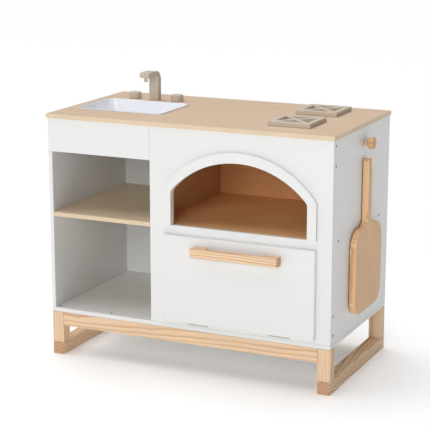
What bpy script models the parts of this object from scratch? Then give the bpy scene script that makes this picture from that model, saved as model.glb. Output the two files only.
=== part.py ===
"""A wooden toy kitchen: a painted cabinet on a pine base, with a beech worktop, a lift-out sink, a swivel
tap, two hob grates, an arched oven, a compartment behind a drop-down flap, two open bays and a pizza peel
that hangs from a peg on its right side.

Units are metres, +Z is up, the front faces -Y and +X is to the right. Sizes below are written for the
cabinet's own centre. An empty carries the whole kitchen from there to the middle of its bounding box.

Run it with: blender --background --python part.py
"""

import math

import bmesh
import bpy
from mathutils import Vector

# Overall sizes
WIDTH = 0.850
DEPTH = 0.450
WORKTOP_Z = 0.700
GAP = 0.0003  # air between pieces that touch
HALF = GAP / 2  # what each of two touching boards gives up

# Pine base
BAR = 0.036  # square section of the runners and legs
BASE_H = 0.127
RAIL_H = 0.040
RAIL_T = 0.024

# Cabinet boards
BOARD = 0.012
BACK_T = 0.005
BACK_INSET = 0.015
GROOVE = 0.004
LINING_T = 0.003
OVERHANG_SIDE = 0.003
OVERHANG_FRONT = 0.004
BAY_W = 0.3065
APRON_H = 0.0945
OVEN_H = 0.268  # oven floor's top to the worktop's underside
BATTEN = 0.015
BATTEN_LEN = 0.076
UPPER_BATTEN_DROP = 0.005
LOWER_BATTEN_RISE = 0.0115

# Socket screws in the right side
SCREW_HEAD_R = 0.0035
SCREW_HEAD_T = 0.002
SCREW_SHANK_R = 0.002
SCREW_SOCKET_R = 0.0017
SCREW_SOCKET_DEEP = 0.0012
SCREW_BITE = 0.012
SCREW_PITCH = 0.053
FLOOR_SCREW_FRONT = 0.046
FLOOR_SCREW_BACK = 0.077

# Oven arch and flap, centred on the front panel
FRONT_MARGIN = 0.0425  # panel's side edges to the moulding and the flap
ARCH_DROP = 0.052  # worktop's underside to the moulding's top
ARCH_RISE = 0.114
ARCH_SIDE_W = 0.025
ARCH_TOP_W = 0.028
ARCH_INNER_RISE = 0.0915
ARCH_FILLET = 0.020
ARCH_T = 0.0095
ARCH_EDGE = 0.002
ARCH_STEPS = 20
FLAP_T = 0.012
FLAP_AIR = 0.0006  # flap's back to the front panel's face
FLAP_TOP_DROP = 0.025
FLAP_BOTTOM_RISE = 0.0215
FLAP_EDGE = 0.004
FLAP_OVERLAP = 0.016  # flap's edges over the panel's opening
CATCH_R = 0.005
CATCH_T = 0.005
STRIKE_R = 0.0055
STRIKE_T = 0.0015

# Flap's butt hinges, closed between the flap and the front panel
HINGE_LEN = 0.060
HINGE_SPREAD = 0.120
KNUCKLE_R = 0.002
HINGE_PIN_R = 0.00085
HINGE_OUT = 0.0025  # pin's centre in front of the panel's face
HINGE_BELOW = 0.0024  # pin's centre below the flap's bottom edge
LEAF_W = 0.016
LEAF_T = 0.001
LEAF_AIR = 0.0004
WEB_RISE = 0.0012  # half height of the web from the cabinet leaf to its knuckle

# Flap's handle
HANDLE_LEN = 0.254
HANDLE_H = 0.025
HANDLE_OUT = 0.028
HANDLE_BAR = 0.013
HANDLE_FOOT = 0.040
HANDLE_CHAMFER = 0.006
HANDLE_DROP = 0.024
HANDLE_EDGE = 0.0015
HANDLE_BITE = 0.016

# Sink
SINK_FROM_LEFT = 0.163
SINK_FROM_BACK = 0.243
SINK_W = 0.275
SINK_D = 0.208
SINK_CORNER = 0.027
SINK_RIM = 0.008
SINK_DEEP = 0.065
SINK_SLOPE = 0.018
SINK_FILLET = 0.012
SINK_WALL = 0.002
SINK_SEAT = 0.0015  # bowl to the worktop's cut-out, all round
SINK_LIP = 0.0005  # how far the mouth's edge is eased, across and then down
SINK_LIP_DOWN = 0.001

# Tap
TAP_FROM_BACK = 0.110
TAP_W = 0.030
TAP_T = 0.018
TAP_H = 0.088
TAP_REACH = 0.068
TAP_BACK_R = 0.028
SPOUT_H = 0.016
SPOUT_FILLET = 0.006
SPOUT_NOSE_R = 0.004
TAP_EDGE = 0.0025
NOZZLE_R = 0.0055
NOZZLE_H = 0.011
NOZZLE_TENON_R = 0.0035
NOZZLE_TENON = 0.008
NOZZLE_OUT = 0.058
PIVOT_R = 0.0045
PIVOT_UP = 0.018
PIVOT_FLANGE_R = 0.010
PIVOT_FLANGE_T = 0.003

# Tap knobs
KNOB_SPREAD = 0.069
KNOB_FROM_BACK = 0.104
KNOB_R = 0.018
KNOB_H = 0.020
KNOB_EDGE = 0.002
SPINDLE_R = 0.003
SPINDLE_UP = 0.012
SPINDLE_HEAD_R = 0.007
SPINDLE_HEAD_T = 0.003

# Hob grates
GRATE_FROM_RIGHT = 0.157
GRATE_FROM_BACK = 0.114
GRATE_PITCH = 0.198
GRATE = 0.122
GRATE_T = 0.012
GRATE_FRAME = 0.016
GRATE_CROSS = 0.012
GRATE_EDGE = 0.001

# Peg on the right side
PEG_FROM_BACK = 0.215
PEG_Z_DROP = 0.055
PEG_NECK_R = 0.0083
PEG_NECK = 0.0135
PEG_HEAD_R = 0.0165
PEG_HEAD = 0.0165
PEG_EDGE = 0.0025
PEG_TENON_R = 0.005
PEG_TENON = 0.010

# Peel that hangs from the peg
PEEL_OFF = 0.003  # side panel to the peel's back
PEEL_T = 0.017
PEEL_LEN = 0.420
PEEL_DROP = 0.042  # peg's centre to the top of the peel's handle
PEEL_HANDLE_R = 0.014
PEEL_BLADE_R = 0.105
PEEL_SHOULDER = 0.186  # top of the handle to the blade's shoulder
PEEL_NECK_R = 0.024
PEEL_SHOULDER_R = 0.050
PEEL_CORNER_R = 0.045
PEEL_HOLE_R = 0.004
PEEL_HOLE_DROP = 0.030
PEEL_EDGE = 0.003

# Hanging loop. The route is measured from the side panel's face and the peg's centre: out, back, up.
CORD_R = 0.001
CORD_SPACING = 0.0033
ROUTE_STEPS = 12  # between two points of the route, before they are spaced evenly
CORD_ROUTE = (
    (0.0075, 0.0034, 0.0103),
    (0.0078, 0.0072, 0.0074),
    (0.0082, 0.0097, 0.0032),
    (0.0087, 0.0101, -0.0030),
    (0.0096, 0.0096, -0.0105),
    (0.0120, 0.0083, -0.0185),
    (0.0163, 0.0066, -0.0280),
    (0.0205, 0.0050, -0.0380),
    (0.0223, 0.0035, -0.0480),
    (0.0228, 0.0020, -0.0580),
    (0.0228, 0.0008, -0.0660),
    (0.0220, 0.0003, -0.0700),
    (0.0202, 0.0000, -0.0718),
    (0.0175, 0.0000, -0.0725),
    (0.0120, 0.0000, -0.0726),
    (0.0066, 0.0000, -0.0723),
    (0.0040, 0.0000, -0.0716),
    (0.0021, -0.0003, -0.0697),
    (0.0014, -0.0007, -0.0665),
    (0.0015, -0.0016, -0.0580),
    (0.0015, -0.0030, -0.0480),
    (0.0018, -0.0046, -0.0380),
    (0.0028, -0.0064, -0.0280),
    (0.0041, -0.0082, -0.0185),
    (0.0055, -0.0096, -0.0105),
    (0.0063, -0.0101, -0.0030),
    (0.0068, -0.0097, 0.0032),
    (0.0072, -0.0072, 0.0074),
    (0.0075, -0.0034, 0.0103),
)
KNOT_PLACE = (0.0075, 0.0, 0.0112)
KNOT_R = 0.0026
KNOT_TAIL = 0.019
KNOT_TAIL_R = 0.0013
KNOT_TIP_R = 0.0009

# Places that follow from the sizes
LEFT = -WIDTH / 2
RIGHT = WIDTH / 2
FRONT = -DEPTH / 2
BACK = DEPTH / 2
INNER_LEFT = LEFT + BOARD
INNER_RIGHT = RIGHT - BOARD
BEHIND_FRONT = FRONT + BOARD
BAY_RIGHT = INNER_LEFT + BAY_W
DIVIDER_RIGHT = BAY_RIGHT + BOARD
BACK_FACE = BACK - BACK_INSET - BACK_T  # back panel's inner face
BOTTOM_TOP = BASE_H + BOARD
UNDER_TOP = WORKTOP_Z - BOARD
OVEN_Z = UNDER_TOP - OVEN_H
APRON_Z = UNDER_TOP - APRON_H
FRONT_MID = (BAY_RIGHT + RIGHT) / 2
ARCH_HALF = (RIGHT - BAY_RIGHT) / 2 - FRONT_MARGIN
ARCH_INNER_HALF = ARCH_HALF - ARCH_SIDE_W
ARCH_TOP = UNDER_TOP - ARCH_DROP
FLAP_LOW = BASE_H + FLAP_BOTTOM_RISE
FLAP_HIGH = OVEN_Z - FLAP_TOP_DROP
FLAP_BACK = FRONT - FLAP_AIR
FLAP_FACE = FLAP_BACK - FLAP_T
HINGE_Y = FRONT - HINGE_OUT
HINGE_Z = FLAP_LOW - HINGE_BELOW
SINK_MID = (LEFT + SINK_FROM_LEFT, BACK - SINK_FROM_BACK)
TAP_Y = BACK - TAP_FROM_BACK
KNOB_Y = BACK - KNOB_FROM_BACK
PEG_Y = BACK - PEG_FROM_BACK
PEG_Z = WORKTOP_Z - PEG_Z_DROP
SIDE_FACE = RIGHT - HALF  # right side panel's outer face
CENTRE_X = ((LEFT - OVERHANG_SIDE) + (RIGHT + PEG_NECK + PEG_HEAD)) / 2
CENTRE_Y = ((FLAP_FACE - HANDLE_OUT) + BACK) / 2

# Sides of a turned piece: many where it shows, few where it is hidden
ROUND = 32
SMALL_ROUND = 16
PAST = 0.002  # how far a cutter runs past the face that it opens

# Ways that a flat outline lies: as drawn, facing the front, or facing the right side
FLAT = (0.0, 0.0, 0.0)
FACING_FRONT = (math.pi / 2, 0.0, 0.0)
FACING_SIDE = (math.pi / 2, 0.0, math.pi / 2)
# Ways that a turned piece's own top points
UP = (0.0, 0.0, 0.0)
TO_RIGHT = (0.0, math.pi / 2, 0.0)
TO_BACK = (-math.pi / 2, 0.0, 0.0)
TO_FRONT = (math.pi / 2, 0.0, 0.0)

# Colour, roughness and metallic of each finish
FINISHES = {
    "white_paint": ((0.84, 0.84, 0.83), 0.45, 0.0),
    "pine": ((0.78, 0.50, 0.25), 0.50, 0.0),
    "beech": ((0.68, 0.48, 0.32), 0.45, 0.0),
    "birch_ply": ((0.80, 0.64, 0.43), 0.50, 0.0),
    "oven_wood": ((0.52, 0.28, 0.12), 0.50, 0.0),
    "peel_wood": ((0.60, 0.41, 0.24), 0.50, 0.0),
    "greige_paint": ((0.45, 0.39, 0.32), 0.45, 0.0),
    "sink_plastic": ((0.90, 0.92, 0.96), 0.15, 0.0),
    "dark_steel": ((0.10, 0.10, 0.10), 0.40, 1.0),
    "hinge_steel": ((0.50, 0.48, 0.45), 0.35, 1.0),
    "cotton_cord": ((0.80, 0.79, 0.86), 0.90, 0.0),
}


# ---------------------------------------------------------------- helpers


def clear_scene():
    for obj in list(bpy.data.objects):
        bpy.data.objects.remove(obj, do_unlink=True)


def collection(name):
    made = bpy.data.collections.new(name)
    bpy.context.scene.collection.children.link(made)
    return made


def finish(name):
    """The Principled material of one finish."""
    if name in bpy.data.materials:
        return bpy.data.materials[name]
    colour, roughness, metallic = FINISHES[name]
    material = bpy.data.materials.new(name)
    material.use_nodes = True
    shader = material.node_tree.nodes["Principled BSDF"]
    shader.inputs["Base Color"].default_value = (*colour, 1.0)
    shader.inputs["Roughness"].default_value = roughness
    shader.inputs["Metallic"].default_value = metallic
    return material


def axis_empty(name, place, carrier=None):
    """An empty on a joint's axis, or at the middle of the kitchen's box."""
    obj = bpy.data.objects.new(name, None)
    obj.empty_display_size = 0.03
    obj.location = place
    obj.parent = carrier
    PARTS.objects.link(obj)
    return obj


def put(obj, place, turn, carrier, look):
    """Places a piece, given in the cabinet's own frame, on its carrier. With no look it is a cutter."""
    own = carrier or KITCHEN
    start = Vector((0, 0, 0)) if own == KITCHEN else own.location
    obj.parent = own
    obj.location = Vector(place) - start
    obj.rotation_euler = turn
    if look is None:
        obj.hide_render = True
        obj.display_type = "WIRE"
        CUTTERS.objects.link(obj)
    else:
        obj.data.materials.append(finish(look))
        PARTS.objects.link(obj)
    return obj


def box_mesh(name, size):
    mesh = bpy.data.meshes.new(name)
    bm = bmesh.new()
    bmesh.ops.create_cube(bm, size=1.0)
    bmesh.ops.scale(bm, vec=size, verts=bm.verts)
    bm.to_mesh(mesh)
    bm.free()
    return mesh


def board(name, low, high, look, carrier=None):
    """A squared board between two corners, cut short by HALF on every face."""
    low, high = Vector(low), Vector(high)
    obj = bpy.data.objects.new(name, box_mesh(name, high - low - Vector((GAP, GAP, GAP))))
    return put(obj, (low + high) / 2, FLAT, carrier, look)


def hollow(name, low, high, carrier=None):
    """A squared cutter between two corners."""
    low, high = Vector(low), Vector(high)
    obj = bpy.data.objects.new(name, box_mesh(name, high - low))
    return put(obj, (low + high) / 2, FLAT, carrier, None)


def mesh_of_curve(curve_obj):
    """The welded mesh of a curve object, which is then removed."""
    bpy.context.scene.collection.objects.link(curve_obj)
    graph = bpy.context.evaluated_depsgraph_get()
    mesh = bpy.data.meshes.new_from_object(curve_obj.evaluated_get(graph))
    bm = bmesh.new()
    bm.from_mesh(mesh)
    bmesh.ops.remove_doubles(bm, verts=bm.verts, dist=0.000001)
    bm.to_mesh(mesh)
    bm.free()
    bpy.data.objects.remove(curve_obj, do_unlink=True)
    return mesh


def plate(name, outlines, thick, place, turn, look, carrier=None):
    """A flat outline, with its holes, cut from a sheet. Its own Z runs through the sheet's middle."""
    curve = bpy.data.curves.new(name, "CURVE")
    curve.dimensions = "2D"
    curve.fill_mode = "BOTH"
    curve.extrude = thick / 2
    for outline in outlines:
        spline = curve.splines.new("POLY")
        spline.points.add(len(outline) - 1)
        for point, (across, along) in zip(spline.points, outline):
            point.co = (across, along, 0.0, 1.0)
        spline.use_cyclic_u = True
    mesh = mesh_of_curve(bpy.data.objects.new(name + "_outline", curve))
    return put(bpy.data.objects.new(name, mesh), place, turn, carrier, look)


def turned(name, profile, place, turn, look, carrier=None, sides=SMALL_ROUND):
    """A turned piece: the profile's (radius, height) points run from its top centre to its bottom centre."""
    mesh = bpy.data.meshes.new(name)
    bm = bmesh.new()
    verts = [bm.verts.new((radius, 0.0, height)) for radius, height in profile]
    for first, second in zip(verts, verts[1:]):
        bm.edges.new((first, second))
    bm.to_mesh(mesh)
    bm.free()
    obj = put(bpy.data.objects.new(name, mesh), place, turn, carrier, look)
    screw = obj.modifiers.new("turn", "SCREW")
    screw.axis = "Z"
    screw.angle = 2 * math.pi
    screw.steps = sides
    screw.render_steps = sides
    screw.use_merge_vertices = True
    screw.merge_threshold = 0.00001
    screw.use_normal_calculate = False
    return obj


def cut(obj, *cutters):
    for cutter in cutters:
        boolean = obj.modifiers.new(cutter.name, "BOOLEAN")
        boolean.operation = "DIFFERENCE"
        boolean.solver = "EXACT"
        boolean.object = cutter
    return obj


def ease(obj, width, segments=2, angle=40):
    """Rounds every edge that is sharper than the angle, in degrees."""
    bevel = obj.modifiers.new("eased_edges", "BEVEL")
    bevel.width = width
    bevel.segments = segments
    bevel.limit_method = "ANGLE"
    bevel.angle_limit = math.radians(angle)
    return obj


def arc(middle, radius, start, end, steps):
    """Points on an arc, both ends included. Angles are in degrees from the first axis."""
    angles = [math.radians(start + (end - start) * step / steps) for step in range(steps + 1)]
    return [(middle[0] + radius * math.cos(a), middle[1] + radius * math.sin(a)) for a in angles]


def circle(middle, radius, sides=SMALL_ROUND):
    return arc(middle, radius, 0, 360 - 360 / sides, sides - 1)


def rectangle(left, low, right, high):
    return [(left, low), (right, low), (right, high), (left, high)]


def round_rectangle(half_w, half_h, radius, steps):
    """A rectangle about the origin with round corners."""
    corners = ((1, 1, 0), (-1, 1, 90), (-1, -1, 180), (1, -1, 270))
    points = []
    for side, end, start in corners:
        middle = (side * (half_w - radius), end * (half_h - radius))
        points += arc(middle, radius, start, start + 90, steps)
    return points


def rounded_knob(radius, top, low, edge):
    """The outer side of a turned head from its top centre down, with its two rims rounded."""
    return (
        [(0.0, top)]
        + arc((radius - edge, top - edge), edge, 90, 0, 3)
        + arc((radius - edge, low + edge), edge, 0, -90, 3)
    )


# ---------------------------------------------------------------- pine base


def make_base():
    for side, inner, outer in (("left", LEFT + BAR, LEFT), ("right", RIGHT - BAR, RIGHT)):
        west, east = min(inner, outer), max(inner, outer)
        board(side + "_runner", (west, FRONT, -HALF), (east, BACK, BAR), "pine")
        for end, near, far in (("front", FRONT, FRONT + BAR), ("back", BACK - BAR, BACK)):
            board(f"{end}_{side}_leg", (west, near, BAR), (east, far, BASE_H), "pine")
    for name, near, far in (
        ("front_rail", FRONT, FRONT + RAIL_T),
        ("back_rail", BACK - RAIL_T, BACK),
    ):
        board(name, (LEFT + BAR, near, BASE_H - RAIL_H), (RIGHT - BAR, far, BASE_H), "pine")


# ---------------------------------------------------------------- cabinet


def side_screws():
    """Places of the right side's screws, as (name, from the front to the back, height)."""
    batten_y = BEHIND_FRONT + BATTEN / 2
    upper = UNDER_TOP - UPPER_BATTEN_DROP - BATTEN_LEN / 2
    lower = BOTTOM_TOP + LOWER_BATTEN_RISE + BATTEN_LEN / 2
    floor = OVEN_Z - BOARD / 2
    return (
        ("top_upper_screw", batten_y, upper + SCREW_PITCH / 2),
        ("top_lower_screw", batten_y, upper - SCREW_PITCH / 2),
        ("floor_front_screw", FRONT + FLOOR_SCREW_FRONT, floor),
        ("floor_back_screw", BACK - FLOOR_SCREW_BACK, floor),
        ("bottom_upper_screw", batten_y, lower + SCREW_PITCH / 2),
        ("bottom_lower_screw", batten_y, lower - SCREW_PITCH / 2),
    )


def screw_profile(length):
    return [
        (0.0, -SCREW_SOCKET_DEEP),
        (SCREW_SOCKET_R, -SCREW_SOCKET_DEEP),
        (SCREW_SOCKET_R, 0.0),
        (SCREW_HEAD_R, 0.0),
        (SCREW_HEAD_R, -SCREW_HEAD_T),
        (SCREW_SHANK_R, -SCREW_HEAD_T),
        (SCREW_SHANK_R, -length),
        (0.0, -length),
    ]


def screw_hole_profile(length):
    return [
        (0.0, PAST),
        (SCREW_HEAD_R + GAP, PAST),
        (SCREW_HEAD_R + GAP, -SCREW_HEAD_T - GAP),
        (SCREW_SHANK_R + GAP, -SCREW_HEAD_T - GAP),
        (SCREW_SHANK_R + GAP, -length - GAP),
        (0.0, -length - GAP),
    ]


def make_screws():
    """The side's screws, and a cutter of each for what it goes through, by name."""
    holes = {}
    length = BOARD + SCREW_BITE
    for name, along, height in side_screws():
        place = (SIDE_FACE, along, height)
        turned(name, screw_profile(length), place, TO_RIGHT, "dark_steel")
        hole = turned(name + "_hole", screw_hole_profile(length), place, TO_RIGHT, None)
        holes[name] = hole
    return holes


def make_battens(holes):
    upper = (UNDER_TOP - UPPER_BATTEN_DROP - BATTEN_LEN, UNDER_TOP - UPPER_BATTEN_DROP)
    lower = (BOTTOM_TOP + LOWER_BATTEN_RISE, BOTTOM_TOP + LOWER_BATTEN_RISE + BATTEN_LEN)
    near, far = BEHIND_FRONT, BEHIND_FRONT + BATTEN
    for level, (low, high), lining in (("upper", upper, LINING_T), ("lower", lower, 0.0)):
        west = DIVIDER_RIGHT + lining
        east = INNER_RIGHT - lining
        board(f"{level}_left_batten", (west, near, low), (west + BATTEN, far, high), "pine")
        right = board(f"{level}_right_batten", (east - BATTEN, near, low), (east, far, high), "pine")
        start = "top" if level == "upper" else "bottom"
        cut(right, holes[start + "_upper_screw"], holes[start + "_lower_screw"])


def make_carcass(holes):
    board("bottom_panel", (LEFT, FRONT, BASE_H), (RIGHT, BACK, BOTTOM_TOP), "white_paint")
    board(
        "divider_panel",
        (BAY_RIGHT, BEHIND_FRONT, BOTTOM_TOP),
        (DIVIDER_RIGHT, BACK_FACE, UNDER_TOP),
        "white_paint",
    )
    board(
        "back_panel",
        (INNER_LEFT - GROOVE, BACK_FACE, BOTTOM_TOP),
        (INNER_RIGHT + GROOVE, BACK_FACE + BACK_T, UNDER_TOP),
        "white_paint",
    )
    board(
        "apron_panel",
        (LEFT, FRONT, APRON_Z),
        (BAY_RIGHT, BEHIND_FRONT, UNDER_TOP),
        "white_paint",
    )

    left = board(
        "left_side_panel",
        (LEFT, FRONT, BOTTOM_TOP),
        (INNER_LEFT, BACK, UNDER_TOP),
        "white_paint",
    )
    notch = hollow(
        "apron_notch",
        (LEFT - PAST, FRONT - PAST, APRON_Z - HALF),
        (INNER_LEFT + PAST, BEHIND_FRONT + HALF, UNDER_TOP + PAST),
    )
    cut(left, notch)
    right = board(
        "right_side_panel", (INNER_RIGHT, BEHIND_FRONT, BOTTOM_TOP), (RIGHT, BACK, UNDER_TOP), "white_paint"
    )
    for panel, west, east in (
        (left, INNER_LEFT - GROOVE - HALF, INNER_LEFT + PAST),
        (right, INNER_RIGHT - PAST, INNER_RIGHT + GROOVE + HALF),
    ):
        groove = hollow(
            panel.name + "_groove",
            (west, BACK_FACE - HALF, BOTTOM_TOP - PAST),
            (east, BACK_FACE + BACK_T + HALF, UNDER_TOP + PAST),
        )
        cut(panel, groove)
    cut(right, *holes.values())
    return right


def make_shelves(holes):
    low = OVEN_Z - BOARD
    board("shelf", (INNER_LEFT, FRONT, low), (BAY_RIGHT, BACK_FACE, OVEN_Z), "birch_ply")
    floor = board(
        "oven_floor", (DIVIDER_RIGHT, BEHIND_FRONT, low), (INNER_RIGHT, BACK_FACE, OVEN_Z), "oven_wood"
    )
    cut(floor, holes["floor_front_screw"], holes["floor_back_screw"])


def make_linings(holes):
    west = DIVIDER_RIGHT + LINING_T
    east = INNER_RIGHT - LINING_T
    board(
        "oven_left_lining", (DIVIDER_RIGHT, BEHIND_FRONT, OVEN_Z), (west, BACK_FACE, UNDER_TOP), "oven_wood"
    )
    right = board(
        "oven_right_lining", (east, BEHIND_FRONT, OVEN_Z), (INNER_RIGHT, BACK_FACE, UNDER_TOP), "oven_wood"
    )
    cut(right, holes["top_upper_screw"], holes["top_lower_screw"])
    board(
        "oven_back_lining", (west, BACK_FACE - LINING_T, OVEN_Z), (east, BACK_FACE, UNDER_TOP), "oven_wood"
    )


# ---------------------------------------------------------------- front panel, arch and flap


def arch_outline(half, low, top, rise):
    """An arch from its left foot over to its right foot: straight sides, a fillet, and one flat arc."""
    radius = (half * half + rise * rise) / (2 * rise)
    middle = top - radius
    fillet_x = half - ARCH_FILLET
    fillet_z = middle + math.sqrt((radius - ARCH_FILLET) ** 2 - fillet_x**2)
    lean = math.degrees(math.atan2(fillet_z - middle, fillet_x))
    right_side = [(half, low)] + arc((fillet_x, fillet_z), ARCH_FILLET, 0, lean, 4)
    crown = arc((0.0, middle), radius, lean, 180 - lean, ARCH_STEPS)[1:-1]
    left_side = [(-across, height) for across, height in reversed(right_side)]
    return right_side + crown + left_side


def inner_arch():
    return arch_outline(ARCH_INNER_HALF, OVEN_Z, ARCH_TOP - ARCH_TOP_W, ARCH_INNER_RISE)


def make_front_panel():
    half = (RIGHT - BAY_RIGHT) / 2 - HALF
    flap_half = ARCH_HALF - FLAP_OVERLAP
    outlines = [
        rectangle(-half, BOTTOM_TOP + HALF, half, UNDER_TOP - HALF),
        inner_arch(),
        rectangle(-flap_half, FLAP_LOW + FLAP_OVERLAP, flap_half, FLAP_HIGH - FLAP_OVERLAP),
    ]
    place = (FRONT_MID, (FRONT + BEHIND_FRONT) / 2, 0.0)
    return plate("front_panel", outlines, BOARD - GAP, place, FACING_FRONT, "white_paint")


def make_arch():
    outer = arch_outline(ARCH_HALF, OVEN_Z, ARCH_TOP, ARCH_RISE)
    outline = outer + list(reversed(inner_arch()))
    place = (FRONT_MID, FRONT - HALF - ARCH_T / 2, 0.0)
    arch = plate("arch_moulding", [outline], ARCH_T, place, FACING_FRONT, "white_paint")
    ease(arch, ARCH_EDGE)


def make_flap(axis):
    flap = board(
        "flap_door",
        (FRONT_MID - ARCH_HALF, FLAP_FACE, FLAP_LOW),
        (FRONT_MID + ARCH_HALF, FLAP_BACK, FLAP_HIGH),
        "white_paint",
        axis,
    )
    return ease(flap, FLAP_EDGE, 3)


def make_catch(front_panel, flap, axis):
    """A round magnet in the panel's face behind the flap's top edge, and its steel disc in the flap."""
    height = FLAP_HIGH - FLAP_OVERLAP / 2
    face = (FRONT_MID, FRONT + HALF, height)
    back = (FRONT_MID, FLAP_BACK - HALF, height)

    def disc(radius, thick):
        return [(0.0, 0.0), (radius, 0.0), (radius, -thick), (0.0, -thick)]

    def pocket(radius, thick):
        return [(0.0, PAST), (radius + GAP, PAST), (radius + GAP, -thick - GAP), (0.0, -thick - GAP)]

    turned("magnet_catch", disc(CATCH_R, CATCH_T), face, TO_FRONT, "dark_steel")
    turned("strike_plate", disc(STRIKE_R, STRIKE_T), back, TO_BACK, "hinge_steel", axis)
    cut(front_panel, turned("magnet_pocket", pocket(CATCH_R, CATCH_T), face, TO_FRONT, None))
    cut(flap, turned("strike_pocket", pocket(STRIKE_R, STRIKE_T), back, TO_BACK, None, axis))


def leaf_outline(near, far, low):
    """A hinge leaf's section about its pin: a plate between near and far, wrapped into the knuckle."""
    if low is None:  # plate that rises straight out of the knuckle
        start = math.degrees(math.acos(near / KNUCKLE_R))
        end = 360 + math.degrees(math.acos(far / KNUCKLE_R))
        ends = [(far, LEAF_W), (near, LEAF_W)]
    else:  # plate beside the knuckle, joined to it by a web from low to -low
        start = math.degrees(math.asin(low / KNUCKLE_R))
        end = 360 - start
        ends = [(far, -low), (far, LEAF_W), (near, LEAF_W), (near, low)]
    return ends + arc((0.0, 0.0), KNUCKLE_R, start, end, SMALL_ROUND)


def make_hinge(side, middle, front_panel, flap, axis):
    """One butt hinge. The door leaf has the middle knuckle and the cabinet leaf the outer two."""
    door_near = HINGE_OUT - FLAP_AIR - LEAF_T
    cabinet_near = door_near + LEAF_T + LEAF_AIR
    place = (middle, HINGE_Y, HINGE_Z)
    bore = circle((0.0, 0.0), HINGE_PIN_R + GAP)
    door_leaf = plate(
        side + "_hinge_door_leaf",
        [leaf_outline(door_near, door_near + LEAF_T, None), bore],
        HINGE_LEN,
        place,
        FACING_SIDE,
        "hinge_steel",
        axis,
    )
    cabinet_leaf = plate(
        side + "_hinge_cabinet_leaf",
        [leaf_outline(cabinet_near, cabinet_near + LEAF_T, WEB_RISE), bore],
        HINGE_LEN,
        place,
        FACING_SIDE,
        "hinge_steel",
    )
    third = HINGE_LEN / 6
    clear = KNUCKLE_R + GAP
    for end, west, east in (
        ("west", -HINGE_LEN / 2 - PAST, -third + HALF),
        ("east", third - HALF, HINGE_LEN / 2 + PAST),
    ):
        low = (middle + west, HINGE_Y - 2 * clear, HINGE_Z - 2 * clear)
        high = (middle + east, HINGE_Y + 2 * clear, HINGE_Z + clear)
        cut(door_leaf, hollow(f"{side}_hinge_{end}_knuckle_gap", low, high, axis))
    low = (middle - third - HALF, HINGE_Y - 2 * clear, HINGE_Z - 2 * clear)
    high = (middle + third + HALF, HINGE_Y + cabinet_near - HALF, HINGE_Z + 2 * clear)
    cut(cabinet_leaf, hollow(side + "_hinge_middle_knuckle_gap", low, high))

    half = HINGE_LEN / 2
    pin = [(0.0, half), (HINGE_PIN_R, half), (HINGE_PIN_R, -half), (0.0, -half)]
    turned(side + "_hinge_pin", pin, place, TO_RIGHT, "hinge_steel")

    reach = HINGE_LEN / 2 + GAP
    low = (middle - reach, HINGE_Y, HINGE_Z - KNUCKLE_R - GAP)
    high = (middle + reach, HINGE_Y + cabinet_near + LEAF_T + GAP, HINGE_Z + LEAF_W + GAP)
    cut(front_panel, hollow(side + "_hinge_panel_mortise", low, high))
    low = (middle - reach, HINGE_Y + door_near - GAP, HINGE_Z)
    high = (middle + reach, FLAP_BACK + PAST, HINGE_Z + LEAF_W + GAP)
    cut(flap, hollow(side + "_hinge_flap_mortise", low, high, axis))


def make_handle(flap, axis):
    half = HANDLE_LEN / 2
    inner = half - HANDLE_FOOT
    depth = HANDLE_OUT - HANDLE_BAR
    outline = [
        (-half, 0.0),
        (-half, -HANDLE_OUT),
        (half, -HANDLE_OUT),
        (half, 0.0),
        (inner, 0.0),
        (inner, -depth + HANDLE_CHAMFER),
        (inner - HANDLE_CHAMFER, -depth),
        (-inner + HANDLE_CHAMFER, -depth),
        (-inner, -depth + HANDLE_CHAMFER),
        (-inner, 0.0),
    ]
    face = FLAP_FACE - HALF
    height = FLAP_HIGH - HANDLE_DROP - HANDLE_H / 2
    handle = plate(
        "door_handle", [outline], HANDLE_H, (FRONT_MID, face, height), FLAT, "pine", axis
    )
    ease(handle, HANDLE_EDGE, 2, 30)
    back = FLAP_BACK - HALF
    length = FLAP_T + HANDLE_BITE
    for side, sign in (("left", -1), ("right", 1)):
        place = (FRONT_MID + sign * (half - HANDLE_FOOT / 2), back, height)
        turned(f"{side}_handle_screw", screw_profile(length), place, TO_BACK, "dark_steel", axis)
        hole = turned(
            f"{side}_handle_screw_hole", screw_hole_profile(length), place, TO_BACK, None, axis
        )
        cut(flap, hole)
        cut(handle, hole)


def make_front():
    axis = axis_empty("flap_hinge_axis", (FRONT_MID, HINGE_Y, HINGE_Z), KITCHEN)
    front_panel = make_front_panel()
    flap = make_flap(axis)
    make_arch()
    make_catch(front_panel, flap, axis)
    for side, sign in (("left", -1), ("right", 1)):
        make_hinge(side, FRONT_MID + sign * HINGE_SPREAD, front_panel, flap, axis)
    make_handle(flap, axis)


# ---------------------------------------------------------------- worktop, sink, tap and grates


def knob_places():
    return (
        ("left", SINK_MID[0] - KNOB_SPREAD, KNOB_Y),
        ("right", SINK_MID[0] + KNOB_SPREAD, KNOB_Y),
    )


def make_worktop():
    west, east = LEFT - OVERHANG_SIDE, RIGHT + OVERHANG_SIDE
    mouth_w, mouth_d, corner = sink_mouth()
    spare = SINK_WALL + SINK_SEAT
    cut_out = round_rectangle(mouth_w + spare, mouth_d + spare, corner + spare, 5)
    outlines = [
        rectangle(west, FRONT - OVERHANG_FRONT, east, BACK - HALF),
        [(SINK_MID[0] + across, SINK_MID[1] + along) for across, along in cut_out],
        circle((SINK_MID[0], TAP_Y), PIVOT_R + GAP),
    ]
    for _, across, along in knob_places():
        outlines.append(circle((across, along), SPINDLE_R + GAP))
    place = (0.0, 0.0, WORKTOP_Z - BOARD / 2 + HALF / 2)
    plate("worktop", outlines, BOARD - HALF, place, FLAT, "beech")


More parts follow.
